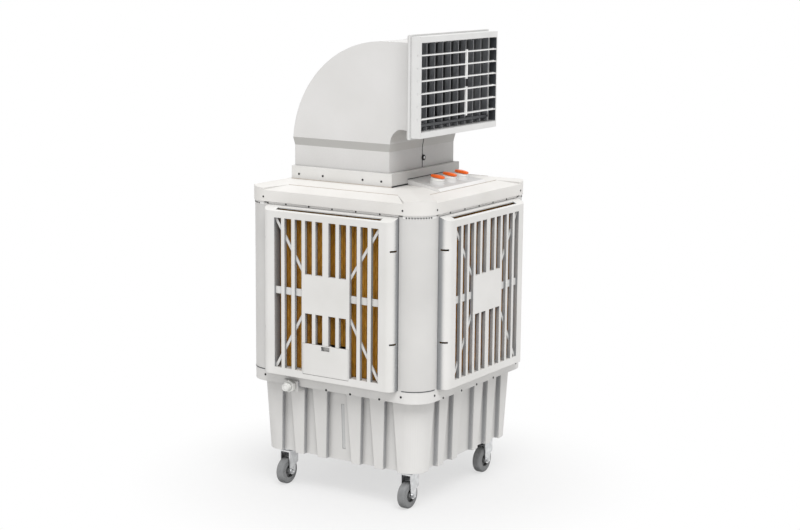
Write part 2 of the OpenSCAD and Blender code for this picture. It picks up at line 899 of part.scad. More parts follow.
// The switch box hangs under the cover, its rim cut to the slope above it
module switch_box() {
    color(vane_grey) intersection() {
        translate([0, -knob_y, deck_under - box_h]) difference() {
            translate([-box_half, -box_d / 2, 0]) cube([2 * box_half, box_d, box_h]);
            translate([-box_half + box_t, -box_d / 2 + box_t, box_t])
                cube([2 * (box_half - box_t), box_d - 2 * box_t, box_h]);
        }
        along_x(4 * box_half) polygon([[-room_half, seat_z], [-deck_front, deck_under], [0, deck_under],
            [0, deck_under - box_h], [-room_half, deck_under - box_h]]);
    }
    color(vane_grey) for (i = [-1:1]) translate([i * knob_pitch, -knob_y, deck_under - box_h + cut])
        cylinder(r = switch_r / 2, h = switch_seat() - deck_under + box_h - cut);
}

// Height of the lowest point of a tilted switch, where its pillar in the box ends
function switch_seat() =
    knob_z - (spindle_l + 2) * cos(console_slope) - switch_r / 2 * sin(console_slope) - loose;

// Water circuit: eight-sided ring of square pipe over the pads, riser, pump, float valve, inlet and drain
module ring_outline(grow) {
    intersection() {
        square(2 * (pipe_pos + grow), center = true);
        rotate(45) square(sqrt(2) * (pipe_pos + pipe_end) + 2 * grow, center = true);
    }
}

module pipe_ring(r) {
    translate([0, 0, pipe_z]) linear_extrude(2 * r, center = true) difference() {
        ring_outline(r);
        ring_outline(-r);
    }
}

module water_distributor() {
    color(body_white) difference() {
        union() {
            pipe_ring(pipe_r);
            translate([riser_pos, riser_pos, riser_top]) cylinder(r = riser_r + 2, h = pipe_z - riser_top);
        }
        pipe_ring(pipe_bore);
        translate([riser_pos, riser_pos, riser_top - cut])
            cylinder(r = riser_r - 2, h = pipe_z - riser_top);
    }
}

module riser_hose() {
    color(vane_grey) translate([riser_pos, riser_pos, riser_foot]) difference() {
        cylinder(r = riser_r, h = riser_top - riser_foot);
        translate([0, 0, -cut]) cylinder(r = riser_r - 2, h = riser_top - riser_foot + 2 * cut);
    }
}

module pump() {
    at = riser_pos - pump_w / 4;
    color(motor_grey) {
        translate([at, at, floor_z]) round_box(strainer_w, strainer_w, strainer_h, 8);
        translate([at, at, floor_z + strainer_h - cut]) round_box(pump_w, pump_w, pump_h + cut, 12);
        translate([riser_pos, riser_pos, floor_z + strainer_h])
            cylinder(r = riser_r, h = pump_h + spigot_h);
    }
}

module inlet_fitting() {
    color(trim_white) translate([-stub_end, inlet_y, inlet_z]) rotate([0, 90, 0]) difference() {
        union() {
            cylinder(r = inlet_r, h = stub_end - thread_end);
            cylinder(r = shank_r, h = stub_end - valve_x);
        }
        translate([0, 0, -cut]) cylinder(r = inlet_r - 3, h = stub_end - valve_x - 2);
    }
}

module inlet_nut() {
    color(trim_white) translate([-boss_face - nut_t, inlet_y, inlet_z]) rotate([0, 90, 0]) difference() {
        cylinder(r = nut_w / 2, h = nut_t, $fn = 6);
        translate([0, 0, -cut]) cylinder(r = shank_r + run, h = nut_t + 2 * cut);
    }
}

module float_valve() {
    color(trim_white) difference() {
        translate([-valve_x, inlet_y, inlet_z]) {
            rotate([0, 90, 0]) cylinder(r = valve_r, h = valve_l);
            for (s = [-1, 1]) translate([valve_l - 4, s * (ear_gap + ear_t) / 2 - ear_t / 2, -valve_r / 2])
                cube([12 + 4, ear_t, valve_r]);
        }
        translate([-float_axis_x, inlet_y, inlet_z]) rotate([90, 0, 0])
            cylinder(r = float_pin_r + run, h = 4 * ear_gap, center = true);
    }
}

// The float hangs at its lower stop, as it does in an empty tank
module float_arm() {
    tongue = ear_gap - 1;
    color(trim_white) translate([-float_axis_x, inlet_y, inlet_z]) rotate([0, float_drop, 0]) {
        rotate([90, 0, 0]) cylinder(r = float_pin_r, h = ear_gap + 2 * ear_t, center = true);
        rotate([90, 0, 0]) cylinder(r = 2 * float_pin_r, h = tongue, center = true);
        translate([float_l / 2, 0, 0]) rod_x(float_pin_r + 0.5, float_l);
        translate([float_l, 0, 0]) sphere(float_r);
    }
}

module drain_plug() {
    color(motor_grey) translate([drain_pos, drain_pos, 0]) {
        translate([0, 0, tank_z - tank_wall]) cylinder(r = drain_r + 6, h = tank_wall);
        translate([0, 0, tank_z - cut]) cylinder(r = drain_r, h = tank_wall + 3 * cut);
        translate([-drain_r, -2, tank_z - 3 * tank_wall]) cube([2 * drain_r, 4, 2.5 * tank_wall]);
    }
}

// Fan: bell-mouthed ring under the deck, four-armed bracket, motor below it, six-bladed impeller
module fan_ring() {
    color(motor_grey) translate([0, duct_y, ring_z]) rotate_extrude() {
        translate([fan_r, bell_r]) square([ring_t, ring_h - bell_r]);
        translate([fan_r, ring_h - ring_t]) square([ring_flange, ring_t]);
        intersection() {
            translate([fan_r + bell_r, bell_r]) difference() {
                circle(bell_r);
                circle(bell_r - ring_t);
            }
            translate([fan_r, 0]) square(bell_r);
        }
        translate([fan_r + bell_r, 0]) square([8, ring_t]);
    }
}

module motor_bracket() {
    reach = fan_r + bell_r + 8;
    color(zinc) translate([0, duct_y, bracket_z]) linear_extrude(bracket_t) {
        difference() {
            circle(motor_d / 2);
            circle(3 * shaft_r);
        }
        for (a = [0:360 / arms:359]) rotate(a + 45)
            translate([0.45 * motor_d, -arm_w / 2]) square([reach - 0.45 * motor_d, arm_w]);
    }
}

module fan_motor() {
    cap = 14;
    color(motor_grey) translate([0, duct_y, bracket_z - motor_h]) difference() {
        union() {
            translate([0, 0, cap]) cylinder(r = motor_d / 2 - 3, h = motor_h - cap);
            cylinder(r1 = motor_d / 2 - 10, r2 = motor_d / 2, h = cap);
            translate([0, 0, motor_h - cap]) cylinder(r = motor_d / 2, h = cap);
        }
        translate([0, 0, motor_h / 2]) cylinder(r = shaft_r + run, h = motor_h);
    }
}

module fan_impeller() {
    sweep_r = fan_r - tip_gap;
    hub_r = hub_d / 2;
    mid = hub_z + hub_h / 2;
    color(vane_grey) translate([0, duct_y, 0]) {
        translate([0, 0, hub_z]) cylinder(r = hub_r, h = hub_h - 8);
        translate([0, 0, hub_z + hub_h - 8]) cylinder(r1 = hub_r, r2 = hub_r - 10, h = 8);
        translate([0, 0, bracket_z - motor_h / 2 + loose])
            cylinder(r = shaft_r, h = hub_z - bracket_z + motor_h / 2);
        intersection() {
            for (a = [0:360 / blades:359]) rotate(a)
                translate([hub_r - 5, 0, mid]) rotate([blade_pitch, 0, 0])
                    along_blade(sweep_r) blade_section();
            translate([0, 0, hub_z - hub_h]) cylinder(r = sweep_r, h = 3 * hub_h);
        }
    }
}

module along_blade(l) {
    rotate([90, 0, 90]) linear_extrude(l) children();
}

// A cambered plate: a slice of a thin ring as wide as the blade's chord
module blade_section() {
    intersection() {
        translate([0, -camber_r + blade_chord * blade_chord / (16 * camber_r)]) difference() {
            circle(camber_r, $fn = 96);
            circle(camber_r - blade_t, $fn = 96);
        }
        translate([-blade_chord / 2, -blade_chord / 2]) square(blade_chord);
    }
}

// Hood: a rectangular elbow in two halves that meet on the middle plane
module hood_side(inset, past) {
    difference() {
        union() {
            intersection() {
                translate([bend_y, hood_z]) circle(hood_r - inset, $fn = 128);
                translate([bend_y, hood_z]) square(hood_r);
            }
            translate([-mouth_y - past, hood_z]) square([mouth_y + past + bend_y, hood_r - inset]);
        }
        translate([-mouth_y - past - cut, hood_z - cut])
            square([mouth_y + past + cut - hood_front - throat_r, throat_h + inset + cut]);
        translate([-mouth_y - past - cut, hood_z - cut])
            square([mouth_y + past + cut - hood_front + inset, throat_h - throat_r + cut]);
        translate([-hood_front - throat_r, throat_z - throat_r]) circle(throat_r + inset);
    }
}

module hood_plan(inset, past) {
    wide = hood_half + 2 * flare;
    difference() {
        translate([-wide, -mouth_y - past]) square([2 * wide, mouth_y + past + hood_back - inset]);
        for (s = [-1, 1]) {
            translate([s * (hood_half - inset + wide), -flare_y + body_w])
                square([2 * wide, 2 * body_w], center = true);
            translate([s * (hood_half + flare_r), -flare_y]) circle(flare_r + inset, $fn = 128);
        }
    }
}

module hood_shell(inset, past) {
    intersection() {
        along_x(2 * body_w) hood_side(inset, past);
        translate([0, 0, hood_z - cut]) linear_extrude(2 * hood_r) hood_plan(inset, past);
        translate([-body_w, -body_w, shell_z]) cube(2 * body_w);
    }
}

module neck_box(inset, z0, z1) {
    translate([0, shell_mid_y, (z0 + z1) / 2])
        cube([2 * (hood_half - neck_in - inset), 2 * (shell_half_y - neck_in - inset), z1 - z0],
            center = true);
}

module hood() {
    neck = [hood_half - neck_in, shell_half_y - neck_in];
    difference() {
        union() {
            hood_shell(0, 0);
            neck_box(0, collar_top, hood_z);
            translate([0, shell_mid_y, hood_z])
                linear_extrude(band_h, scale = [hood_half / neck[0], shell_half_y / neck[1]])
                    square([2 * neck[0], 2 * neck[1]], center = true);
            translate([-frame_half - rim_lip / 2, -mouth_y, outlet_z - frame_half_h - rim_lip / 2])
                cube([2 * frame_half + rim_lip, flange_t, 2 * frame_half_h + rim_lip]);
        }
        hood_shell(hood_wall, cut);
        neck_box(hood_wall, collar_top - cut, shell_z + cut);
    }
}

module hood_left() {
    color(body_white) intersection() {
        hood();
        translate([-body_w, -body_w, 0]) cube([body_w, 2 * body_w, 4 * body_w]);
    }
}

module hood_right() {
    color(body_white) intersection() {
        hood();
        translate([0, -body_w, 0]) cube([body_w, 2 * body_w, 4 * body_w]);
    }
}

module hood_collar() {
    color(body_white) difference() {
        translate([-collar_half, -collar_front, deck_z])
            cube([2 * collar_half, 2 * collar_half_y, collar_h]);
        translate([0, duct_y, deck_z + (collar_h - collar_wall) / 2 - cut])
            cube([2 * (collar_half - collar_wall), 2 * (collar_half_y - collar_wall),
                collar_h - collar_wall + 2 * cut], center = true);
        neck_box(hood_wall, deck_z, collar_top + cut);
    }
}

// Outlet: a deep frame with six ganged slats in two banks, and ten ganged vanes behind them
module outlet_frame() {
    color(trim_white) difference() {
        union() {
            frame_block(frame_half, frame_half_h, frame_d);
            frame_block(frame_half + rim_lip, frame_half_h + rim_lip, rim_lip_t);
        }
        frame_block(outlet_half, outlet_h / 2, frame_d + cut, cut);
        for (k = [1:slat_n]) at_slat(k) rod_x(pivot_r + run, 4 * slat_half);
        for (k = [1:vane_n]) at_vane(k)
            cylinder(r = pivot_r + run, h = outlet_h + 2 * (pivot_l + cut), center = true);
    }
}

module frame_block(w, h, d, past = 0) {
    translate([-w, -mouth_y - d, outlet_z - h]) cube([2 * w, d + past, 2 * h]);
}

module at_slat(k) {
    translate([0, -slat_y, outlet_z + outlet_h / 2 - k * slat_pitch]) children();
}

module at_vane(k) {
    translate([(k - (vane_n + 1) / 2) * vane_pitch, -vane_y, outlet_z]) children();
}

// A flat blade with rounded edges, its pivot at the origin
module blade_outline(d, t) {
    square([d - t, t], center = true);
    for (s = [-1, 1]) translate([s * (d - t) / 2, 0]) circle(t / 2);
}

module slat(k) {
    color(trim_white) at_slat(k) {
        difference() {
            along_x(2 * slat_half) blade_outline(slat_d, slat_t);
            translate([slat_link_x - link_w / 2 - cut, -slat_d, -slat_t])
                cube([link_w + 2 * cut, slat_d - crank + link_notch, 2 * slat_t]);
        }
        translate([slat_link_x, -crank, 0]) rod_x(crank_r, link_w + 4 * cut);
        for (s = [-1, 1]) {
            translate([s * slat_half, 0, 0]) rod_x(pivot_r, 2 * pivot_l);
            translate([s * (slat_half - boss_l / 2), 0, 0]) rod_x(pivot_r + 1, boss_l);
        }
    }
}

module slat_link(first) {
    l = 2 * slat_pitch + 2 * link_end;
    color(trim_white) at_slat(first + 1) translate([slat_link_x, -crank, 0]) difference() {
        cube([link_w, link_d, l], center = true);
        for (i = [-1:1]) translate([0, 0, i * slat_pitch]) rod_x(crank_r + run, 2 * link_w);
    }
}

module vane(k) {
    notch = link_w + 2;
    link_z = vane_link_z - outlet_z;
    color(vane_grey) at_vane(k) {
        difference() {
            linear_extrude(2 * vane_half_h, center = true) rotate(90) blade_outline(vane_d, vane_t);
            translate([-vane_t, -vane_d, link_z - notch / 2])
                cube([2 * vane_t, vane_d - vane_crank + link_notch, notch]);
        }
        translate([0, -vane_crank, link_z]) cylinder(r = crank_r, h = notch + 2, center = true);
        for (s = [-1, 1]) {
            translate([0, 0, s * vane_half_h]) cylinder(r = pivot_r, h = 2 * pivot_l, center = true);
            translate([0, 0, s * (vane_half_h - boss_l / 2)])
                cylinder(r = pivot_r + 1, h = boss_l, center = true);
        }
    }
}

module vane_link() {
    color(vane_grey) difference() {
        translate([0, -vane_y - vane_crank, vane_link_z])
            cube([(vane_n - 1) * vane_pitch + 2 * link_end - 2, link_d, link_w], center = true);
        for (k = [1:vane_n]) at_vane(k) translate([0, -vane_crank, vane_link_z - outlet_z])
            cylinder(r = crank_r + run, h = 2 * link_w, center = true);
    }
}

tank();
castor_plates();
castor_fork(-1, -1);  // castor_fork_fl
castor_fork(1, -1);  // castor_fork_fr
castor_fork(-1, 1);  // castor_fork_bl
castor_fork(1, 1);  // castor_fork_br
castor_wheel(-1, -1);  // castor_wheel_fl
castor_wheel(1, -1);  // castor_wheel_fr
castor_wheel(-1, 1);  // castor_wheel_bl
castor_wheel(1, 1);  // castor_wheel_br
corner_posts();
top_rails();
grille(false);  // grille_front
rotate(-90) grille(true);  // grille_left
rotate(90) grille(false);  // grille_right
rotate(180) grille(false);  // grille_back
cooling_pads();
fill_door();
top_cover();
control_console();
knob(-1);  // knob_1
knob(0);  // knob_2
knob(1);  // knob_3
rotary_switches();
switch_box();
water_distributor();
pump();
riser_hose();
float_valve();
float_arm();
inlet_fitting();
inlet_nut();
drain_plug();
fan_impeller();
fan_motor();
motor_bracket();
fan_ring();
hood_left();
hood_right();
hood_collar();
outlet_frame();
slat(1);  // slat_1
slat(2);  // slat_2
slat(3);  // slat_3
slat(4);  // slat_4
slat(5);  // slat_5
slat(6);  // slat_6
slat_link(1);  // slat_link_upper
slat_link(4);  // slat_link_lower
vane(1);  // vane_01
vane(2);  // vane_02
vane(3);  // vane_03
vane(4);  // vane_04
vane(5);  // vane_05
vane(6);  // vane_06
vane(7);  // vane_07
vane(8);  // vane_08
vane(9);  // vane_09
vane(10);  // vane_10
vane_link();
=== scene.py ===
# A portable evaporative cooler: fluted tank on castors, pad panels, swept hood and louvred outlet.
# The solids come packed; this script gives them their finishes and adds the small fittings.
import math

import bmesh
import bpy
from mathutils import Matrix, Vector


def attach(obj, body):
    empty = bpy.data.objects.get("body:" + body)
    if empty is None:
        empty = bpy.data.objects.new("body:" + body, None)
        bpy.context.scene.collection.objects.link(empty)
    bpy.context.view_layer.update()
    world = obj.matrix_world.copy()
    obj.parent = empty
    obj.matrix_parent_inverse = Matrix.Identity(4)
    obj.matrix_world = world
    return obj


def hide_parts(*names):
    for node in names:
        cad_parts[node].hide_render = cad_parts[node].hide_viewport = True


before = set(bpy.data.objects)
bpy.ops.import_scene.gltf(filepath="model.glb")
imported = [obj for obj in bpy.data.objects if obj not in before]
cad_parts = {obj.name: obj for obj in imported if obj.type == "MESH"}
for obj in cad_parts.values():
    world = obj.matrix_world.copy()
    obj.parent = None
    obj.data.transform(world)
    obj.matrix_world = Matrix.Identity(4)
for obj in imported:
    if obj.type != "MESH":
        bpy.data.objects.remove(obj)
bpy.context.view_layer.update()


# Castors: pressed steel top plates and forks, plated with bright zinc, and solid grey rubber wheels
# moulded on a hub. The plates are screwed under the tank, and a bolted axle carries each wheel.
MM = 0.001


def linear(code):
    parts = [int(code[i:i + 2], 16) / 255 for i in (1, 3, 5)]
    return [c / 12.92 if c <= 0.04045 else ((c + 0.055) / 1.055) ** 2.4 for c in parts] + [1.0]


def feed(tree, node, values, links):
    for name, value in values.items():
        node.inputs[name].default_value = value
    for name, (other, output) in links.items():
        tree.links.new(other.outputs[output], node.inputs[name])


def add(tree, kind, values=None, links=None, stops=(), **settings):
    # One shader node with its settings, its sockets' values and links, and a colour ramp's stops.
    made = tree.nodes.new("ShaderNode" + kind)
    for name, value in settings.items():
        setattr(made, name, value)
    for index, (position, code) in enumerate(stops):
        made.color_ramp.elements[index].position = position
        made.color_ramp.elements[index].color = linear(code)
    feed(tree, made, values or {}, links or {})
    return made


def new_finish(name):
    finish = bpy.data.materials.new(name)
    finish.use_nodes = True
    tree = finish.node_tree
    return finish, tree, tree.nodes["Principled BSDF"]


def dress(nodes, finish):
    for name in nodes:
        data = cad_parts[name].data
        data.materials.clear()
        data.materials.append(finish)


def zinc_plate():
    # Bright zinc on pressed steel: a cool metal with cloudy passivation and faint rolling marks, which
    # are drawn coarser than real ones so that they show.
    cloud_mm, mark_mm, mark_depth_mm = 14, 2, 0.03
    finish, tree, shader = new_finish("bright_zinc_plate")
    place = add(tree, "TexCoord")
    cloud = add(tree, "TexNoise", {"Scale": 1 / (cloud_mm * MM), "Detail": 4.0},
                {"Vector": (place, "Object")})
    tint = add(tree, "ValToRGB", links={"Fac": (cloud, "Fac")}, stops=((0.35, "#cccdce"), (0.65, "#e6e7e8")))
    rough = add(tree, "MapRange", {"To Min": 0.26, "To Max": 0.46}, {"Value": (cloud, "Fac")})
    marks = add(tree, "TexNoise", {"Scale": 1 / (mark_mm * MM), "Detail": 2.0}, {"Vector": (place, "Object")})
    bump = add(tree, "Bump", {"Strength": 0.25, "Distance": mark_depth_mm * MM}, {"Height": (marks, "Fac")})
    feed(tree, shader, {"Metallic": 1.0}, {"Base Color": (tint, "Color"), "Roughness": (rough, "Result"),
                                           "Normal": (bump, "Normal")})
    return finish


def moulded(name, tone, shade, rough, grain_mm, depth_mm, edge_mm, drift_mm,
            crevice=0.5, reach_mm=35, open_at=0.8, flank_shade=None):
    # Injection-moulded plastic: an even tone that drifts a little over the sheet, a spark-eroded grain,
    # drawn coarser than real so that it breaks the highlight, and edges rounded by the tool. Below 1,
    # crevice is how dark the painted shade in recesses and between parts gets, from ambient occlusion.
    # With a flank colour, the walls of ribs and slots that stand square to a face of the body and lie deep
    # in a recess are painted that colour too, as painted shade.
    finish, tree, shader = new_finish(name)
    place = add(tree, "TexCoord")
    drift = add(tree, "TexNoise", {"Scale": 1 / (drift_mm * MM), "Detail": 3.0},
                {"Vector": (place, "Object")})
    colour = add(tree, "ValToRGB", links={"Fac": (drift, "Fac")}, stops=((0.3, shade), (0.7, tone)))
    if crevice < 1:
        # Painted shade: ambient occlusion darkens the colour in recesses and between parts.
        recess = add(tree, "AmbientOcclusion", {"Distance": reach_mm * MM}, samples=8)
        recess_shade = add(tree, "MapRange", {"From Min": 0.2, "From Max": open_at, "To Min": crevice, "To Max": 1.0},
                   {"Value": (recess, "AO")})
        colour = add(tree, "MixRGB", {"Fac": 1.0}, {"Color1": (colour, "Color"), "Color2": (recess_shade, "Result")},
                     blend_type="MULTIPLY")
        # Painted shade: the deep walls of ribs and slots take the flank colour.
        if flank_shade:
            spot = add(tree, "VectorMath", links={0: (place, "Object")}, operation="ABSOLUTE")
            spot = add(tree, "SeparateXYZ", links={0: (spot, "Vector")})
            look = add(tree, "VectorMath", links={0: (place, "Normal")}, operation="ABSOLUTE")
            look = add(tree, "SeparateXYZ", links={0: (look, "Vector")})
            side = add(tree, "Math", links={0: (spot, "X"), 1: (spot, "Y")}, operation="GREATER_THAN")
            across = add(tree, "MapRange", links={"Value": (side, "Value"), "To Min": (look, "X"),
                                                  "To Max": (look, "Y")})
            steep = add(tree, "MapRange", {"From Min": 0.7, "From Max": 0.95}, {"Value": (across, "Result")})
            deep = add(tree, "MapRange", {"From Min": 0.97, "From Max": 0.75}, {"Value": (recess, "AO")})
            share = add(tree, "Math", links={0: (steep, "Result"), 1: (deep, "Result")}, operation="MULTIPLY")
            colour = add(tree, "MixRGB", {"Color2": linear(flank_shade)},
                         {"Fac": (share, "Value"), "Color1": (colour, "Color")})
    grain = add(tree, "TexNoise", {"Scale": 1 / (grain_mm * MM), "Detail": 2.0},
                {"Vector": (place, "Object")})
    gloss = add(tree, "MapRange", {"To Min": rough - 0.06, "To Max": rough + 0.08}, {"Value": (grain, "Fac")})
    edge = add(tree, "Bevel", {"Radius": edge_mm * MM}, samples=4)
    bump = add(tree, "Bump", {"Strength": 0.3, "Distance": depth_mm * MM},
               {"Height": (grain, "Fac"), "Normal": (edge, "Normal")})
    feed(tree, shader, {"IOR": 1.49}, {"Base Color": (colour, "Color"), "Roughness": (gloss, "Result"),
                                       "Normal": (bump, "Normal")})
    return finish


CORNERS = {"fl": (-1, -1), "fr": (1, -1), "bl": (-1, 1), "br": (1, 1)}
zinc = zinc_plate()
wheel_rubber = moulded("grey_castor_rubber", "#8e8f90", "#808182", rough=0.62, grain_mm=1.6, depth_mm=0.12,
                       edge_mm=0.8, drift_mm=25)
dress(["castor_plates"] + ["castor_fork_" + c for c in CORNERS], zinc)
dress(["castor_wheel_" + c for c in CORNERS], wheel_rubber)


def finish_piece(name, mesh_edit, finish, body, smooth=35):
    data = bpy.data.meshes.new(name)
    bmesh.ops.recalc_face_normals(mesh_edit, faces=mesh_edit.faces)
    mesh_edit.to_mesh(data)
    mesh_edit.free()
    for face in data.polygons:
        face.use_smooth = True
    data.materials.append(finish)
    piece = bpy.data.objects.new(name, data)
    bpy.context.scene.collection.objects.link(piece)
    data.set_sharp_from_angle(angle=math.radians(smooth))
    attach(piece, body)
    return piece


def circle(radius, height, steps):
    turns = [2 * math.pi * i / steps for i in range(steps)]
    return [Vector((radius * math.cos(a), radius * math.sin(a), height)) for a in turns]


def turned(mesh_edit, profile, place, steps=24):
    # Revolves a profile of (radius, height) about the local Z axis; a zero radius closes an end.
    rings = []
    for radius, height in profile:
        points = circle(radius, height, steps) if radius else [Vector((0, 0, height))]
        rings.append([mesh_edit.verts.new(place @ point) for point in points])
    for low, high in zip(rings, rings[1:]):
        for i in range(steps):
            j = (i + 1) % steps
            corners = [low[i % len(low)], low[j % len(low)], high[j % len(high)], high[i % len(high)]]
            unique = list(dict.fromkeys(corners))
            if len(unique) > 2:
                mesh_edit.faces.new(unique)


def rod(mesh_edit, radius, length, place, steps=24):
    turned(mesh_edit, [(0, 0), (radius, 0), (radius, length), (0, length)], place, steps)


def facing(point, direction):
    # A frame at a point whose local Z looks along the direction.
    return Matrix.Translation(point) @ Vector(direction).to_track_quat("Z", "Y").to_matrix().to_4x4()


CASTOR_POS, CASTOR_TRAIL, WHEEL_R = 205 * MM, 16 * MM, 37.5 * MM
FORK_HALF, FORK_PLATE = 17 * MM, 3 * MM
WASHER_R, WASHER_T = 6.5 * MM, 1.2 * MM
HEX_R, HEX_TOP, HEX_EDGE, HEX_TURN = 5.2 * MM, 5.2 * MM, 0.6 * MM, 0.3
TIP_R, TIP_TOP, TIP_EDGE = 2.6 * MM, 7 * MM, 0.4 * MM


def axle_bolt(mesh_edit, place):
    # A washer, a hexagon with a bevelled top, and the end of the axle standing out of it.
    rod(mesh_edit, WASHER_R, WASHER_T, place)
    hexagon = [(0, WASHER_T), (HEX_R, WASHER_T), (HEX_R, HEX_TOP - HEX_EDGE), (HEX_R - HEX_EDGE, HEX_TOP),
               (0, HEX_TOP)]
    turned(mesh_edit, hexagon, place @ Matrix.Rotation(HEX_TURN, 4, "Z"), steps=6)
    axle_end = [(0, HEX_TOP), (TIP_R, HEX_TOP), (TIP_R - TIP_EDGE, TIP_TOP), (0, TIP_TOP)]
    turned(mesh_edit, axle_end, place, steps=16)


for corner, (sx, sy) in CORNERS.items():
    bolts = bmesh.new()
    for side in (-1, 1):
        across = sy * CASTOR_POS + side * (FORK_HALF + FORK_PLATE)
        axle_bolt(bolts, facing((sx * CASTOR_POS - CASTOR_TRAIL, across, WHEEL_R), (0, side, 0)))
    finish_piece("axle_bolts_" + corner, bolts, zinc, "fork_" + corner)


# Tank: a large polypropylene moulding with upright flutes and a hollow rim band. A clear level strip is
# bonded into the middle flute of the left face, and screws through the rim hold the frame above it.
# Painted shade: recesses and the walls of the flutes are painted darker.
tank_plastic = moulded("grained_polypropylene", "#e6e5e3", "#dddcda", rough=0.5, grain_mm=2.2, depth_mm=0.25,
                       edge_mm=1.2, drift_mm=160, crevice=0.4, reach_mm=20, open_at=0.92, flank_shade="#a4a5a7")
dark_plastic = moulded("dark_moulded_plastic", "#4a4d51", "#414448", rough=0.45, grain_mm=1.4, depth_mm=0.1,
                       edge_mm=0.8, drift_mm=40)
dress(["tank"], tank_plastic)
dress(["drain_plug", "pump", "riser_hose"], dark_plastic)


def smoked_strip():
    # Clear polycarbonate over a white wall: it reads as a faint grey stripe with a sharp gloss.
    haze_mm = 20
    finish, tree, shader = new_finish("smoked_polycarbonate")
    place = add(tree, "TexCoord")
    haze = add(tree, "TexNoise", {"Scale": 1 / (haze_mm * MM), "Detail": 2.0}, {"Vector": (place, "Object")})
    tint = add(tree, "ValToRGB", links={"Fac": (haze, "Fac")}, stops=((0, "#c3c4c4"), (1, "#cfd0cf")))
    feed(tree, shader, {"Roughness": 0.12, "IOR": 1.58}, {"Base Color": (tint, "Color")})
    return finish


def loft(mesh_edit, loops):
    # Joins closed loops of points, each to the next, and closes both ends.
    rows = [[mesh_edit.verts.new(point) for point in loop] for loop in loops]
    for low, high in zip(rows, rows[1:]):
        for i in range(len(low)):
            j = (i + 1) % len(low)
            mesh_edit.faces.new((low[i], low[j], high[j], high[i]))
    mesh_edit.faces.new(rows[0])
    mesh_edit.faces.new(rows[-1][::-1])


TANK_Z, WALL_H, WALL_FOOT, TAPER, FLUTE_D = 108 * MM, 206 * MM, 257 * MM, 10 * MM, 14 * MM
LEVEL_D, LEVEL_Y, LEVEL_W, LEVEL_Z, LEVEL_H = 1.5 * MM, 10 * MM, 10 * MM, 34 * MM, 130 * MM
LEVEL_GAP, END_STEPS = 0.3 * MM, 12
# Height above the recess and inset of the edge, from the strip's back to its rounded front.
LEVEL_LAYERS = ((0.1 * MM, 0), (1.0 * MM, 0), (1.3 * MM, 0.5 * MM))
lean = math.atan(TAPER / WALL_H)
on_wall = (Matrix.Rotation(math.radians(-90), 4, "Z")
           @ Matrix.Translation((LEVEL_Y, -(WALL_FOOT - FLUTE_D - LEVEL_D), TANK_Z))
           @ Matrix.Rotation(lean + math.pi / 2, 4, "X"))
half_w = LEVEL_W / 2 - LEVEL_GAP
outline = []
for end, turn in ((LEVEL_Z + LEVEL_H - LEVEL_W / 2, 0), (LEVEL_Z + LEVEL_W / 2, math.pi)):
    for i in range(END_STEPS + 1):
        a = turn + math.pi * i / END_STEPS
        outline.append((half_w * math.cos(a), end + half_w * math.sin(a)))
strip = bmesh.new()
loft(strip, [[on_wall @ Vector((x * (1 - inset / half_w), y, height)) for x, y in outline]
             for height, inset in LEVEL_LAYERS])
finish_piece("level_strip", strip, smoked_strip(), "base")


def screw_head(mesh_edit, place, radius, height):
    # A pan head with a cross recess, drawn as a height field over a disc.
    rings, steps, fall, sunk, slot, reach, skirt = 9, 32, 0.55, 0.55, 0.17, 0.62, 0.3 * MM

    def lifted(point):
        x, y = abs(point.x) / radius, abs(point.y) / radius
        in_cross = (x < slot and y < reach) or (y < slot and x < reach)
        point.z = height * (1 - fall * (x * x + y * y) - (sunk if in_cross else 0))
        return mesh_edit.verts.new(place @ point)

    middle = lifted(Vector((0, 0, 0)))
    rows = [[lifted(point) for point in circle(radius * ring / rings, 0, steps)]
            for ring in range(1, rings + 1)]
    rows.append([mesh_edit.verts.new(place @ point) for point in circle(radius, -skirt, steps)])
    for i in range(steps):
        j = (i + 1) % steps
        mesh_edit.faces.new((middle, rows[0][i], rows[0][j]))
        for low, high in zip(rows, rows[1:]):
            mesh_edit.faces.new((low[i], high[i], high[j], low[j]))
    mesh_edit.faces.new(rows[-1][::-1])


def black_screw():
    # Black-oxide steel: a dark oiled surface, glossier on the rubbed crown.
    rub_mm = 3
    finish, tree, shader = new_finish("black_oxide_steel")
    place = add(tree, "TexCoord")
    rub = add(tree, "TexNoise", {"Scale": 1 / (rub_mm * MM), "Detail": 2.0}, {"Vector": (place, "Object")})
    tint = add(tree, "ValToRGB", links={"Fac": (rub, "Fac")}, stops=((0, "#151617"), (1, "#26272a")))
    rough = add(tree, "MapRange", {"To Min": 0.4, "To Max": 0.6}, {"Value": (rub, "Fac")})
    feed(tree, shader, {"Metallic": 0.3}, {"Base Color": (tint, "Color"), "Roughness": (rough, "Result")})
    return finish


screw_steel = black_screw()
# Turns a piece on the front face to each side: front, right, back and left.
SIDES = [Matrix.Rotation(quarter * math.pi / 2, 4, "Z") for quarter in range(4)]
FRONT, RIGHT, LEFT = 0, 1, 3
RIM_HALF, RIM_LOW, RIM_MID, RIM_SCREW_R, RIM_SCREW_H = 292 * MM, 316 * MM, 332 * MM, 3 * MM, 1.6 * MM
RIM_ENDS, RIM_ROW, RIM_ROW_LEFT = (-226, 226), (-181, -83, 0, 94), (-18, 62, 157)
rim_screws = bmesh.new()
for side, turn in enumerate(SIDES):
    row = RIM_ROW_LEFT if side == LEFT else RIM_ROW
    for x, z in [(x, RIM_MID) for x in RIM_ENDS] + [(x, RIM_LOW) for x in row]:
        screw_head(rim_screws, turn @ facing((x * MM, -RIM_HALF, z), (0, -1, 0)), RIM_SCREW_R, RIM_SCREW_H)
finish_piece("rim_screws", rim_screws, screw_steel, "base")


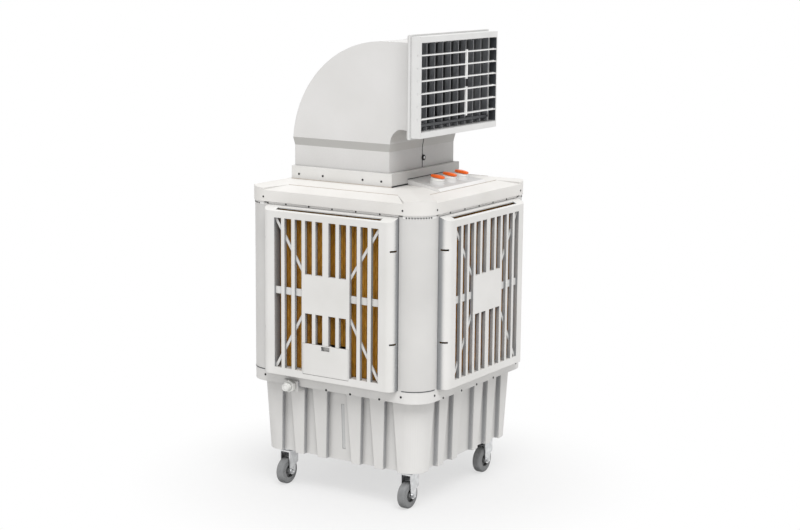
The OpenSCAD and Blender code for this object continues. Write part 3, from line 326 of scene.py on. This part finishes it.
# Water inlet: a white nylon stub with a half-inch thread, clamped to the tank's boss by a hexagon nut and
# closed by a push-in dust plug. Behind it hang the float valve, its arm and its hollow float.
nylon = moulded("white_nylon", "#f0f0ed", "#e6e6e2", rough=0.38, grain_mm=1.5, depth_mm=0.05, edge_mm=0.6,
                drift_mm=30)
dress(["inlet_fitting", "inlet_nut", "float_valve", "float_arm"], nylon)
STUB_R, STUB_END, NUT_FACE, INLET_Y, INLET_Z = 10.4 * MM, 327 * MM, 310 * MM, 133 * MM, 314 * MM
PITCH, RIDGE, ROOT, HALF_RIDGE, THREAD_STEPS = 1.814 * MM, 0.55 * MM, 0.05 * MM, 0.42, 32
THREAD_START, THREAD_RUNOUT = 1.0 * MM, 2.2 * MM
PLUG_R, PLUG_FLAT_R, PLUG_L, PLUG_SET = 7.3 * MM, 5.84 * MM, 6 * MM, 0.4 * MM
PLUG_EDGE, PLUG_DOME = 0.6 * MM, 0.2 * MM
last_step = int((STUB_END - NUT_FACE - THREAD_RUNOUT) / PITCH) * THREAD_STEPS
ridge = []
for i in range(last_step + 1):
    a = 2 * math.pi * i / THREAD_STEPS
    x = -NUT_FACE - THREAD_START - PITCH * i / THREAD_STEPS
    fade = min(1, i / THREAD_STEPS, (last_step - i) / THREAD_STEPS)
    section = ((HALF_RIDGE, STUB_R - ROOT), (0, STUB_R + RIDGE * fade), (-HALF_RIDGE, STUB_R - ROOT))
    ridge.append([(x + along * PITCH, INLET_Y + r * math.cos(a), INLET_Z + r * math.sin(a))
                  for along, r in section])
thread = bmesh.new()
loft(thread, ridge)
finish_piece("inlet_thread", thread, nylon, "base")
plug = bmesh.new()
turned(plug, [(0, -PLUG_L), (PLUG_R, -PLUG_L), (PLUG_R, -PLUG_EDGE), (PLUG_FLAT_R, -PLUG_DOME), (0, 0)],
       facing((-STUB_END + PLUG_SET, INLET_Y, INLET_Z), (-1, 0, 0)))
finish_piece("inlet_dust_plug", plug, nylon, "base")


# Corner posts: hollow white mouldings with a rounded outer corner, that stand on the rim and carry the
# cover. A white strip with a row of small drain holes runs round each head, and a dark seal round its foot.
# The strips and the rails above the panels are painted light: a lighter white without painted shade, so
# that they read lit in the shaded gap under the cover.
# Painted light: a lighter copy of the white plastic, free of painted shade, for the rails and strips in the
# gap.
rail_plastic = moulded("bright_rail_abs", "#f6f5f3", "#f0efed", rough=0.42, grain_mm=2.0, depth_mm=0.16,
                       edge_mm=1.0, drift_mm=140, crevice=1.0)
post_plastic = moulded("post_abs", "#dcdbd9", "#d5d4d2", rough=0.42, grain_mm=2.0, depth_mm=0.16, edge_mm=1.8,
                       drift_mm=140, crevice=0.85)
# Painted shade: each drain hole is a flat black disc that stands for the dark inside of the hole.
drain_hole_shade = moulded("drain_hole_painted_shade", "#121213", "#0c0c0d", rough=0.85, grain_mm=1.2, depth_mm=0.05,
                     edge_mm=0.2, drift_mm=20, crevice=1.0)
dress(["corner_posts"], post_plastic)
dress(["top_rails"], rail_plastic)
POST_OUT, POST_R = 292 * MM, 67 * MM
ARC_FROM, ARC_SPAN, ARC_STEPS = 2, 86, 24
# Inner and outer radius, foot and top of each band round a post, in mm.
GAP_BAND = (61.6, 66.9, 821.1, 824.8)
HEAD_BAND = (66.4, 67.3, 815.9, 821.6)
FOOT_BAND = (66.4, 67.7, 347.1, 349.3)
DOTS, DOTS_FROM, DOTS_SPAN, DOT_Z = 10, 11, 60, 818.9 * MM
DOT_R, DOT_T, DOT_EDGE, DOT_OUT = 2.4 * MM, 0.5 * MM, 0.1 * MM, 0.1 * MM
post_strips, foot_seals, dots = bmesh.new(), bmesh.new(), bmesh.new()
middle = Vector((POST_OUT - POST_R, POST_OUT - POST_R, 0))
arc = [math.radians(ARC_FROM + ARC_SPAN * i / ARC_STEPS) for i in range(ARC_STEPS + 1)]
for turn in SIDES:
    for mesh_edit, band in ((post_strips, GAP_BAND), (post_strips, HEAD_BAND), (foot_seals, FOOT_BAND)):
        inner, outer, foot, top = band
        section = ((inner, foot), (outer, foot), (outer, top), (inner, top))
        loft(mesh_edit, [[turn @ (middle + Vector((r * math.cos(a), r * math.sin(a), z)) * MM)
                          for r, z in section] for a in arc])
    for i in range(DOTS):
        a = math.radians(DOTS_FROM + DOTS_SPAN * i / (DOTS - 1))
        out = Vector((math.cos(a), math.sin(a), 0))
        at = turn @ facing(middle + out * (POST_R + DOT_OUT) + Vector((0, 0, DOT_Z)), out)
        turned(dots, [(0, 0), (DOT_R, 0), (DOT_R - DOT_EDGE, DOT_T), (0, DOT_T)], at, steps=12)
finish_piece("post_seal_strips", post_strips, rail_plastic, "base")
finish_piece("post_foot_seals", foot_seals, dark_plastic, "base")
finish_piece("post_drain_dots", dots, drain_hole_shade, "base")


# Cooling pads: upright sheets of kraft paper, waved, stiffened with resin and glued side by side, so the
# face is a field of thin edges. They stand in the panels' trays, and the left one is notched for the door.
def resin_kraft():
    # Kraft paper soaked in resin: golden brown and streaked along the sheet, with fibres drawn coarser
    # than real ones so that they show.
    streak_mm, fibre_mm, fibre_depth_mm, along_share = 9, 1.5, 0.1, 0.04
    finish, tree, shader = new_finish("resin_kraft_paper")
    place = add(tree, "TexCoord")
    along = add(tree, "VectorMath", {1: (1, 1, along_share)}, {0: (place, "Object")}, operation="MULTIPLY")
    streak = add(tree, "TexNoise", {"Scale": 1 / (streak_mm * MM), "Detail": 3.0},
                 {"Vector": (along, "Vector")})
    tint = add(tree, "ValToRGB", links={"Fac": (streak, "Fac")}, stops=((0.3, "#ab761b"), (0.7, "#d6a23a")))
    fibre = add(tree, "TexNoise", {"Scale": 1 / (fibre_mm * MM), "Detail": 3.0},
                {"Vector": (place, "Object")})
    bump = add(tree, "Bump", {"Strength": 0.4, "Distance": fibre_depth_mm * MM}, {"Height": (fibre, "Fac")})
    feed(tree, shader, {"Roughness": 0.72}, {"Base Color": (tint, "Color"), "Normal": (bump, "Normal")})
    return finish


# All in mm.
PAD_FRONT, PAD_T, PAD_HALF, PAD_FOOT, PAD_TOP = 295, 55, 205.5, 350.8, 808
NOTCH_HALF, NOTCH_TOP, NOTCH_ROOM = 55.2, 446.5, 1
SHEET_GAP, SHEET_HALF, SHEET_MARGIN, SKIN = 8.5, 0.25, 0.3, 4.0
WAVE, SWAY, WAVE_STEPS = 34.0, 1.3, 6
count = int(2 * PAD_HALF / SHEET_GAP)
x_limit = PAD_HALF - SHEET_MARGIN
sheets = bmesh.new()
for side, turn in enumerate(SIDES):
    for k in range(count):
        x0 = -PAD_HALF + (k + 0.5) * 2 * PAD_HALF / count
        over_notch = side == LEFT and abs(x0) < NOTCH_HALF + SHEET_GAP / 2
        foot = NOTCH_TOP + NOTCH_ROOM if over_notch else PAD_FOOT
        steps = int((PAD_TOP - foot) / (WAVE / WAVE_STEPS))
        sign = 1 if k % 2 else -1
        loops = []
        for i in range(steps + 1):
            z = foot + (PAD_TOP - foot) * i / steps
            loop = []
            for edge, depth in ((-SHEET_HALF, 0), (SHEET_HALF, 0), (SHEET_HALF, SKIN), (-SHEET_HALF, SKIN)):
                swing = sign * SWAY * math.sin(2 * math.pi * (z + sign * depth) / WAVE)
                x = max(-x_limit, min(x_limit, x0 + swing)) + edge
                loop.append(turn @ (Vector((x, depth - PAD_FRONT, z)) * MM))
            loops.append(loop)
        loft(sheets, loops)
    blocks = [(-PAD_HALF, PAD_HALF, PAD_FOOT)]
    if side == LEFT:
        blocks = [(-PAD_HALF, -NOTCH_HALF, PAD_FOOT), (NOTCH_HALF, PAD_HALF, PAD_FOOT),
                  (-NOTCH_HALF, NOTCH_HALF, NOTCH_TOP)]
    for x0, x1, foot in blocks:
        size = Vector((x1 - x0, PAD_T - SKIN, PAD_TOP - foot)) * MM
        centre = Vector(((x0 + x1) / 2, -PAD_FRONT + (PAD_T + SKIN) / 2, (PAD_TOP + foot) / 2)) * MM
        at = turn @ Matrix.Translation(centre) @ Matrix.Diagonal((*size, 1))
        bmesh.ops.create_cube(sheets, size=1, matrix=at)
pads = finish_piece("pad_sheets", sheets, resin_kraft(), "base", smooth=50)
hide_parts("cooling_pads")


# Grille panels and the fill door: white mouldings that clip between the posts and hold the pads, with
# deep upright bars. The door over the fill opening hangs on moulded pins along its foot.
# Painted shade: recesses and the deep walls of the bars are painted darker.
grille_plastic = moulded("deep_ribbed_abs", "#ebeae8", "#e3e2df", rough=0.42, grain_mm=2.0, depth_mm=0.16,
                         edge_mm=1.8, drift_mm=140, flank_shade="#939597")
dress(["grille_front", "grille_left", "grille_right", "grille_back", "fill_door"], grille_plastic)


# Cover: a white moulded lid that drops over the posts' tenons. Screws through the skirt hold it, and a
# row of screws above each panel fixes the rail, through a white foam strip that fills the shadow gap.
# A fine grey line marks the upper edge of the front, right and left facets.
cover_plastic = moulded("warm_white_abs", "#edebe8", "#e6e4e0", rough=0.42, grain_mm=2.0, depth_mm=0.16,
                        edge_mm=1.8, drift_mm=140)
foam = moulded("white_foam_strip", "#f4f3f1", "#eceae8", rough=0.8, grain_mm=1.8, depth_mm=0.3, edge_mm=0.8,
               drift_mm=60, crevice=1.0)
crease_paint = moulded("warm_grey_crease", "#b9ada2", "#ada196", rough=0.6, grain_mm=1.5, depth_mm=0.05,
                       edge_mm=0.3, drift_mm=40, crevice=1.0)
dress(["top_cover"], cover_plastic)
FOAM_HALF, FOAM_BACK, FOAM_FACE, FOAM_EDGE = 213.5 * MM, 282.8 * MM, 290.4 * MM, 1 * MM
FOAM_LOW, FOAM_TOP, RAIL_SCREW_Z, RAIL_SCREW_R = 818.4 * MM, 824.8 * MM, 821.6 * MM, 2.4 * MM
SKIRT_HALF, SKIRT_SCREW_Z, SKIRT_SCREW_R, COVER_SCREW_H = 295 * MM, 838 * MM, 2.6 * MM, 1.4 * MM
SKIRT_ROW, RAIL_ROW = (-228, 228), (-154, -77, 0, 77, 154)
FACET_IN, FACET_HALF, FACET_TOP, CREASE_R = 242 * MM, 179 * MM, 868.9 * MM, 0.9 * MM
foam_strips, skirt_screws, creases = bmesh.new(), bmesh.new(), bmesh.new()
section = [(FOAM_BACK, FOAM_LOW), (FOAM_FACE - FOAM_EDGE, FOAM_LOW), (FOAM_FACE, FOAM_LOW + FOAM_EDGE),
           (FOAM_FACE, FOAM_TOP - FOAM_EDGE), (FOAM_FACE - FOAM_EDGE, FOAM_TOP), (FOAM_BACK, FOAM_TOP)]
for turn in SIDES:
    loft(foam_strips, [[turn @ Vector((x, -y, z)) for y, z in section] for x in (-FOAM_HALF, FOAM_HALF)])
    for x in SKIRT_ROW:
        at = turn @ facing((x * MM, -SKIRT_HALF, SKIRT_SCREW_Z), (0, -1, 0))
        screw_head(skirt_screws, at, SKIRT_SCREW_R, COVER_SCREW_H)
    for x in RAIL_ROW:
        at = turn @ facing((x * MM, -FOAM_FACE, RAIL_SCREW_Z), (0, -1, 0))
        screw_head(skirt_screws, at, RAIL_SCREW_R, COVER_SCREW_H)
for side in (FRONT, RIGHT, LEFT):
    at = SIDES[side] @ facing((-FACET_HALF, -FACET_IN, FACET_TOP), (1, 0, 0))
    rod(creases, CREASE_R, 2 * FACET_HALF, at, steps=10)
finish_piece("facet_creases", creases, crease_paint, "base")
finish_piece("gap_foam_strips", foam_strips, foam, "base")
finish_piece("skirt_screws", skirt_screws, screw_steel, "base")


# Water circuit under the cover: a ring of white plastic pipe that lies on the pads and wets their tops.
# It is fed from the pump by the hose in the tank.
dress(["water_distributor"], nylon)


# Fan: a dark moulded ring and impeller, with a satin-painted motor on a zinc bracket below it. The dark
# box that holds the rotary switches hangs in front of them, under the deck.
motor_paint = moulded("satin_motor_enamel", "#5f6469", "#565a5f", rough=0.34, grain_mm=1.2, depth_mm=0.06,
                      edge_mm=1.0, drift_mm=60)
dress(["fan_ring", "fan_impeller", "switch_box", "rotary_switches"], dark_plastic)
dress(["fan_motor"], motor_paint)
dress(["motor_bracket"], zinc)


# Controls: a low white console in front of the collar with three white knobs, each with an orange
# pointer cap snapped over its grip. The console's top is painted greyer than its walls: painted shade
# for the shadow that the hood casts on it.
def paint_facing_light(finish, way, low, high, shade):
    # Painted light and shade: another tone on the faces that look a given way, fading in between two
    # cosines, which stands for how light falls on them.
    tree = finish.node_tree
    shader = tree.nodes["Principled BSDF"]
    rest = shader.inputs["Base Color"].links[0].from_node
    place = add(tree, "TexCoord")
    towards = add(tree, "VectorMath", {1: way}, {0: (place, "Normal")}, operation="DOT_PRODUCT")
    share = add(tree, "MapRange", {"From Min": low, "From Max": high}, {"Value": (towards, "Value")})
    colour = add(tree, "MixRGB", {"Color2": linear(shade)},
                 {"Fac": (share, "Result"), "Color1": (rest, "Color")})
    feed(tree, shader, {}, {"Base Color": (colour, "Color")})


console_plastic = moulded("console_abs", "#eeedec", "#e7e6e5", rough=0.4, grain_mm=1.6, depth_mm=0.1,
                          edge_mm=1.2, drift_mm=90, crevice=1.0)
# Painted shade on the faces that look up.
paint_facing_light(console_plastic, (0, 0, 1), low=0.8, high=0.95, shade="#c6c5c4")
pointer_orange = moulded("orange_knob_cap", "#ff7419", "#f5620a", rough=0.36, grain_mm=1.2, depth_mm=0.05,
                         edge_mm=0.8, drift_mm=20, crevice=0.8)
dress(["control_console"], console_plastic)
dress(["knob_1", "knob_2", "knob_3"], nylon)
CONSOLE_DROP, CONSOLE_RUN = 13.5 * MM, 114 * MM
KNOB_PITCH, KNOB_Y, KNOB_Z = 64 * MM, 193 * MM, 882.237 * MM
GRIP_TOP, GRIP_HALF, GRIP_W = 21.3 * MM, 19 * MM, 9 * MM
CAP_END, CAP_SIDE, CAP_BELLY, CAP_SKIRT = 0.7 * MM, 0.6 * MM, 2.4 * MM, 4.6 * MM
CAP_LIFT, CAP_CROWN, CAP_EDGE, CAP_BEVEL, CAP_STEPS = 0.4 * MM, 1.6 * MM, 0.5 * MM, 1.4 * MM, 24
tilt = Matrix.Rotation(math.atan(CONSOLE_DROP / CONSOLE_RUN), 4, "X")
reach = GRIP_HALF + CAP_END
for index in (1, 2, 3):
    place = Matrix.Translation(((index - 2) * KNOB_PITCH, -KNOB_Y, KNOB_Z)) @ tilt
    loops = []
    for i in range(CAP_STEPS + 1):
        y = reach * math.sin(math.pi * (i / CAP_STEPS - 0.5))
        swell = 1 - (y / reach) ** 2
        wide = GRIP_W / 2 + CAP_SIDE + CAP_BELLY * swell
        top = GRIP_TOP + CAP_LIFT + CAP_CROWN * swell
        half = [(wide, GRIP_TOP - CAP_SKIRT), (wide, top - CAP_EDGE), (wide - CAP_BEVEL, top + CAP_EDGE)]
        section = [(-x, z) for x, z in half] + half[::-1]
        loops.append([place @ Vector((x, y, z)) for x, z in section])
    cap = bmesh.new()
    loft(cap, loops)
    finish_piece("knob_cap_%d" % index, cap, pointer_orange, "knob_%d" % index)


# Hood: two white moulded halves, painted dark inside as painted shade, that meet on a black sealing
# strip drawn together by a screw on a black boss. A screwed collar holds them to the deck; black cords
# along its front are painted shade for the shadow lines where it meets the deck and the console.
BEND, DUCT_R, INSIDE_SHADE_REACH = (0, -130 * MM, 985 * MM), 165 * MM, 60 * MM


def darken_inside(finish, shade):
    # Faces that look back at the duct's bent centre line are the inside, which is painted dark: painted
    # shade.
    tree = finish.node_tree
    shader = tree.nodes["Principled BSDF"]
    outside = shader.inputs["Base Color"].links[0].from_node
    place = add(tree, "TexCoord")
    level = add(tree, "VectorMath", {1: (0, 1, 1)}, {0: (place, "Object")}, operation="MULTIPLY")
    reach = add(tree, "VectorMath", {1: BEND}, {0: (level, "Vector")}, operation="SUBTRACT")
    way = add(tree, "VectorMath", links={0: (reach, "Vector")}, operation="NORMALIZE")
    arm = add(tree, "VectorMath", {"Scale": DUCT_R}, {0: (way, "Vector")}, operation="SCALE")
    centre = add(tree, "VectorMath", {1: BEND}, {0: (arm, "Vector")}, operation="ADD")
    away = add(tree, "VectorMath", links={0: (place, "Object"), 1: (centre, "Vector")}, operation="SUBTRACT")
    turned_out = add(tree, "VectorMath", links={0: (away, "Vector"), 1: (place, "Normal")},
                     operation="DOT_PRODUCT")
    inside = add(tree, "Math", {1: -INSIDE_SHADE_REACH}, {0: (turned_out, "Value")}, operation="LESS_THAN")
    colour = add(tree, "MixRGB", {"Color2": linear(shade)},
                 {"Fac": (inside, "Value"), "Color1": (outside, "Color")})
    feed(tree, shader, {}, {"Base Color": (colour, "Color")})


# Painted shade: a wide reach darkens the neck under the outlet's overhang, and faces that look down are
# darker.
hood_plastic = moulded("moulded_hood_abs", "#e9e8e7", "#e2e1df", rough=0.4, grain_mm=2.0, depth_mm=0.12,
                       edge_mm=2.5, drift_mm=200, crevice=0.5, reach_mm=200, open_at=0.95)
paint_facing_light(hood_plastic, (0, 0, -1), low=0.05, high=0.16, shade="#bdbcb9")
darken_inside(hood_plastic, "#6a6a6c")
collar_plastic = moulded("collar_abs", "#e9e8e6", "#e2e1de", rough=0.42, grain_mm=2.0, depth_mm=0.16,
                         edge_mm=1.8, drift_mm=140)
# Painted shade on the collar's front, under the outlet's overhang.
paint_facing_light(collar_plastic, (0, -1, 0), low=0.8, high=0.95, shade="#cbcac8")
dress(["hood_left", "hood_right"], hood_plastic)
dress(["hood_collar"], collar_plastic)

# The hood's outline on its middle plane, in mm: neck, band, the throat's and the back's bends, mouth.
NECK_FRONT, NECK_BACK, NECK_FOOT, BAND_FOOT = -105, 210, 915, 972
THROAT_Y, THROAT_Z, THROAT_R, THROAT_STEPS = -152, 994, 43, 12
BACK_Y, BACK_R, BACK_START, BACK_STEPS = -84, 298, 0.074, 32
MOUTH_Y, MOUTH_FOOT, MOUTH_TOP = -182, 1037, 1270
SEAM_HALF, SEAM_H, SEAM_SINK = 1.8 * MM, 0.5 * MM, 0.3 * MM
throat = [math.pi / 2 * i / THROAT_STEPS for i in range(THROAT_STEPS + 1)]
front = [(NECK_FRONT, NECK_FOOT, math.pi), (NECK_FRONT, BAND_FOOT, math.pi)]
front += [(THROAT_Y + THROAT_R * math.cos(a), THROAT_Z + THROAT_R * math.sin(a), a + math.pi) for a in throat]
front += [(MOUTH_Y, MOUTH_FOOT, -math.pi / 2)]
bend = [BACK_START + (math.pi / 2 - BACK_START) * i / BACK_STEPS for i in range(BACK_STEPS + 1)]
back = [(NECK_BACK, NECK_FOOT, 0), (NECK_BACK, BAND_FOOT, 0)]
back += [(BACK_Y + BACK_R * math.cos(a), BAND_FOOT + BACK_R * math.sin(a), a) for a in bend]
back += [(MOUTH_Y, MOUTH_TOP, math.pi / 2)]
section = ((-SEAM_HALF, -SEAM_SINK), (-SEAM_HALF, SEAM_H / 2), (0, SEAM_H), (SEAM_HALF, SEAM_H / 2),
           (SEAM_HALF, -SEAM_SINK))
seams = bmesh.new()
for path in (front, back):
    loft(seams, [[(x, y * MM + out * math.cos(a), z * MM + out * math.sin(a)) for x, out in section]
                 for y, z, a in path])
finish_piece("hood_seam_strips", seams, screw_steel, "base")

COLLAR_HALF, COLLAR_FRONT, COLLAR_BACK, COLLAR_SCREW_Z = 178.5 * MM, 119 * MM, 215 * MM, 891.5 * MM
COLLAR_SCREW_R, COLLAR_SCREW_H = 3 * MM, 1.6 * MM
COLLAR_SIDE_ROW, COLLAR_BACK_ROW = (190, 109, -24, -85), (-120, 0, 120)
BOSS_X, BOSS_Z, BOSS_R, BOSS_T, BOSS_EDGE, BOSS_SINK = 5 * MM, 941 * MM, 8 * MM, 3.4 * MM, 0.6 * MM, 0.2 * MM
SEAM_SCREW_R, SEAM_SCREW_H, SEAM_SCREW_LIFT = 3.6 * MM, 1.6 * MM, 3.6 * MM
collar_screws, seam_screw = bmesh.new(), bmesh.new()
spots = [((side * COLLAR_HALF, y * MM, COLLAR_SCREW_Z), (side, 0, 0))
         for side in (-1, 1) for y in COLLAR_SIDE_ROW]
spots += [((x * MM, COLLAR_BACK, COLLAR_SCREW_Z), (0, 1, 0)) for x in COLLAR_BACK_ROW]
for spot, way in spots:
    screw_head(collar_screws, facing(spot, way), COLLAR_SCREW_R, COLLAR_SCREW_H)
on_seam = facing((BOSS_X, NECK_FRONT * MM, BOSS_Z), (0, -1, 0))
turned(collar_screws, [(0, -BOSS_SINK), (BOSS_R, -BOSS_SINK), (BOSS_R, BOSS_T - BOSS_EDGE),
                       (BOSS_R - BOSS_EDGE, BOSS_T), (0, BOSS_T)], on_seam)
screw_head(seam_screw, on_seam @ Matrix.Translation((0, 0, SEAM_SCREW_LIFT)), SEAM_SCREW_R, SEAM_SCREW_H)
finish_piece("collar_screws", collar_screws, screw_steel, "base")
finish_piece("seam_screw", seam_screw, zinc, "base")

# The cords along the collar's front, one at each side of the console and a thinner one above it, are
# painted shade: dark lines for the shadow where the collar meets the deck and the console.
SIDE_CORD_IN, SIDE_CORD_Z, SIDE_CORD_R = 98.5 * MM, 878.6 * MM, 2.2 * MM
TOP_CORD_HALF, TOP_CORD_Z, TOP_CORD_R, CORD_OUT = 97.5 * MM, 891.8 * MM, 1.1 * MM, 0.3 * MM
BEAD_R, BEAD_Z = 1.1 * MM, 877.6 * MM
cords, beads = bmesh.new(), bmesh.new()
for start, end, z, radius in ((-COLLAR_HALF, -SIDE_CORD_IN, SIDE_CORD_Z, SIDE_CORD_R),
                              (-TOP_CORD_HALF, TOP_CORD_HALF, TOP_CORD_Z, TOP_CORD_R),
                              (SIDE_CORD_IN, COLLAR_HALF, SIDE_CORD_Z, SIDE_CORD_R)):
    rod(cords, radius, end - start, facing((start, -COLLAR_FRONT - CORD_OUT, z), (1, 0, 0)), steps=10)
for side in (-1, 1):
    at = facing((side * COLLAR_HALF, -COLLAR_FRONT, BEAD_Z), (0, 1, 0))
    rod(beads, BEAD_R, COLLAR_FRONT + COLLAR_BACK, at, steps=10)
finish_piece("collar_shade_cords", cords, screw_steel, "base")
finish_piece("collar_side_beads", beads, crease_paint, "base")


# Outlet: a white frame with white slats in front and dark vanes behind, each bank ganged by a link bar.
# Dark sheets on the frame's side walls, in front of and behind a white rib, are painted shade.
trim = moulded("white_trim_abs", "#ebebea", "#e4e4e3", rough=0.36, grain_mm=1.6, depth_mm=0.06, edge_mm=1.0,
               drift_mm=80)
slat_plastic = moulded("white_slat_abs", "#fbfbfa", "#f5f5f4", rough=0.34, grain_mm=1.6, depth_mm=0.06,
                       edge_mm=0.8, drift_mm=80, crevice=1.0)
vane_plastic = moulded("charcoal_vane_plastic", "#8c8e92", "#808286", rough=0.42, grain_mm=1.4, depth_mm=0.06,
                       edge_mm=0.8, drift_mm=50, crevice=0.85)
# Painted highlight: the vanes' front edges are painted lighter.
paint_facing_light(vane_plastic, (0, -1, 0), low=0.8, high=0.95, shade="#c4c5c8")
SLATS, VANES = 6, 10
dress(["outlet_frame"], trim)
dress(["slat_link_upper", "slat_link_lower"] + ["slat_%d" % (k + 1) for k in range(SLATS)], slat_plastic)
dress(["vane_%02d" % (k + 1) for k in range(VANES)], vane_plastic)
dress(["vane_link"], dark_plastic)
OUTLET_HALF, OUTLET_TOP, OUTLET_H, SLAT_ROOM = 200 * MM, 1272 * MM, 237 * MM, 2.6 * MM
FRONT_SHADE_SHEET, RIB, BACK_SHADE_SHEET = (-223.5 * MM, -201 * MM), (-201 * MM, -194.5 * MM), (-194.5 * MM, -187.5 * MM)
RIB_PROUD, RIB_TAPER, SHADE_SHEET_PROUD, WALL_PROUD = 2.4 * MM, 0.8 * MM, 0.5 * MM, 0.05 * MM
slat_pitch = OUTLET_H / (SLATS + 1)
outlet_foot = OUTLET_TOP - OUTLET_H
# Painted shade: thin dark sheets on the frame's inner side walls.
shade_sheets, ribs = bmesh.new(), bmesh.new()
bands = [(ribs, RIB_PROUD, RIB_TAPER, *RIB, outlet_foot, OUTLET_TOP),
         (shade_sheets, SHADE_SHEET_PROUD, 0, *BACK_SHADE_SHEET, outlet_foot, OUTLET_TOP)]
for k in range(SLATS + 1):
    top = OUTLET_TOP - k * slat_pitch
    bands.append((shade_sheets, SHADE_SHEET_PROUD, 0, *FRONT_SHADE_SHEET, top - slat_pitch + SLAT_ROOM, top - SLAT_ROOM))
for side in (-1, 1):
    for mesh_edit, proud, taper, y0, y1, z0, z1 in bands:
        loops = []
        for out, cut in ((proud, taper), (WALL_PROUD, 0)):
            x = side * (OUTLET_HALF - out)
            loops.append([(x, y0 + cut, z0), (x, y1 - cut, z0), (x, y1 - cut, z1), (x, y0 + cut, z1)])
        loft(mesh_edit, loops)
finish_piece("outlet_shade_sheets", shade_sheets, dark_plastic, "base")
finish_piece("outlet_side_ribs", ribs, slat_plastic, "base")


# Stage: white paper without an edge, one broad lamp high on the left and an even room round it, at a
# level where a colour shows about as it is written, and the camera at the photograph's view.
SHADOW_NEAR, SHADOW_FAR, PAPER_SHARE, FLECK_MM, FLOOR_HALF = 0.3, 0.8, 0.6, 25, 30


def seen_directly(tree):
    path = add(tree, "LightPath")
    eye_gloss = add(tree, "Math", links={0: (path, "Is Camera Ray"), 1: (path, "Is Glossy Ray")},
                    operation="MAXIMUM")
    return add(tree, "Math", links={0: (eye_gloss, "Value"), 1: (path, "Is Transmission Ray")},
               operation="MAXIMUM")


def floor_paper():
    # Matt white paper: plain white to the eye far off, and lit paper that keeps the shadow near the object.
    finish, tree, shader = new_finish("white_studio_paper")
    place = add(tree, "TexCoord")
    fleck = add(tree, "TexNoise", {"Scale": 1 / (FLECK_MM * MM), "Detail": 2.0},
                {"Vector": (place, "Object")})
    tint = add(tree, "ValToRGB", links={"Fac": (fleck, "Fac")}, stops=((0, "#dcdcdc"), (1, "#e0e0e0")))
    feed(tree, shader, {"Roughness": 0.9}, {"Base Color": (tint, "Color")})
    away = add(tree, "VectorMath", links={0: (place, "Object")}, operation="LENGTH")
    share = add(tree, "MapRange", {"From Min": SHADOW_NEAR, "From Max": SHADOW_FAR, "To Min": PAPER_SHARE,
                                   "To Max": 1.0}, {"Value": (away, "Value")},
                interpolation_type="SMOOTHSTEP")
    shown = add(tree, "Math", links={0: (share, "Result"), 1: (seen_directly(tree), "Value")},
                operation="MULTIPLY")
    white = add(tree, "Emission", {"Color": (1, 1, 1, 1), "Strength": 1.0})
    mix = add(tree, "MixShader", links={0: (shown, "Value"), 1: (shader, "BSDF"), 2: (white, "Emission")})
    feed(tree, tree.nodes["Material Output"], {}, {"Surface": (mix, "Shader")})
    return finish


floor_data = bpy.data.meshes.new("floor")
floor_data.from_pydata([(-FLOOR_HALF, -FLOOR_HALF, 0), (FLOOR_HALF, -FLOOR_HALF, 0),
                        (FLOOR_HALF, FLOOR_HALF, 0), (-FLOOR_HALF, FLOOR_HALF, 0)], [], [(0, 1, 2, 3)])
floor_data.materials.append(floor_paper())
floor = bpy.data.objects.new("floor", floor_data)
bpy.context.scene.collection.objects.link(floor)

world = bpy.data.worlds.new("studio")
bpy.context.scene.world = world
world.use_nodes = True
sky = world.node_tree
sky.nodes.clear()
room = add(sky, "Background", {"Color": linear("#f9f8f7"), "Strength": 0.60})
white = add(sky, "Background", {"Color": (1, 1, 1, 1), "Strength": 1.0})
pick = add(sky, "MixShader", links={0: (seen_directly(sky), "Value"), 1: (room, "Background"),
                                    2: (white, "Background")})
add(sky, "OutputWorld", links={"Surface": (pick, "Shader")})

LAMP_STRENGTH, LAMP_SPREAD, LAMP_WAY = 1.92, math.radians(36), Vector((0.40, 0.36, -0.843))
key_data = bpy.data.lights.new("key", "SUN")
key_data.energy, key_data.angle = LAMP_STRENGTH, LAMP_SPREAD
key = bpy.data.objects.new("key", key_data)
bpy.context.scene.collection.objects.link(key)
key.rotation_mode = "QUATERNION"
key.rotation_quaternion = LAMP_WAY.to_track_quat("-Z", "Y")

# The view was fitted to the photograph, whose width and focal length are in its pixels.
PHOTO_W, FOCAL_PX, SENSOR_MM = 800, 1764.9, 36.0
STAND, TARGET, ROLL = Vector((-4.1694, -2.6847, 1.5372)), Vector((0.0539, 0, 0.6168)), math.radians(0.49)
eye = bpy.data.cameras.new("photo_view")
eye.sensor_width, eye.lens = SENSOR_MM, FOCAL_PX * SENSOR_MM / PHOTO_W
eye.clip_start, eye.clip_end = 0.1, 100
camera = bpy.data.objects.new("photo_view", eye)
bpy.context.scene.collection.objects.link(camera)
look = (TARGET - STAND).normalized()
right = look.cross(Vector((0, 0, 1))).normalized()
up = right.cross(look)
right, up = right * math.cos(ROLL) + up * math.sin(ROLL), up * math.cos(ROLL) - right * math.sin(ROLL)
camera.matrix_world = Matrix.Translation(STAND) @ Matrix((right, up, -look)).transposed().to_4x4()
bpy.context.scene.camera = camera
bpy.context.scene.view_settings.view_transform = "Standard"
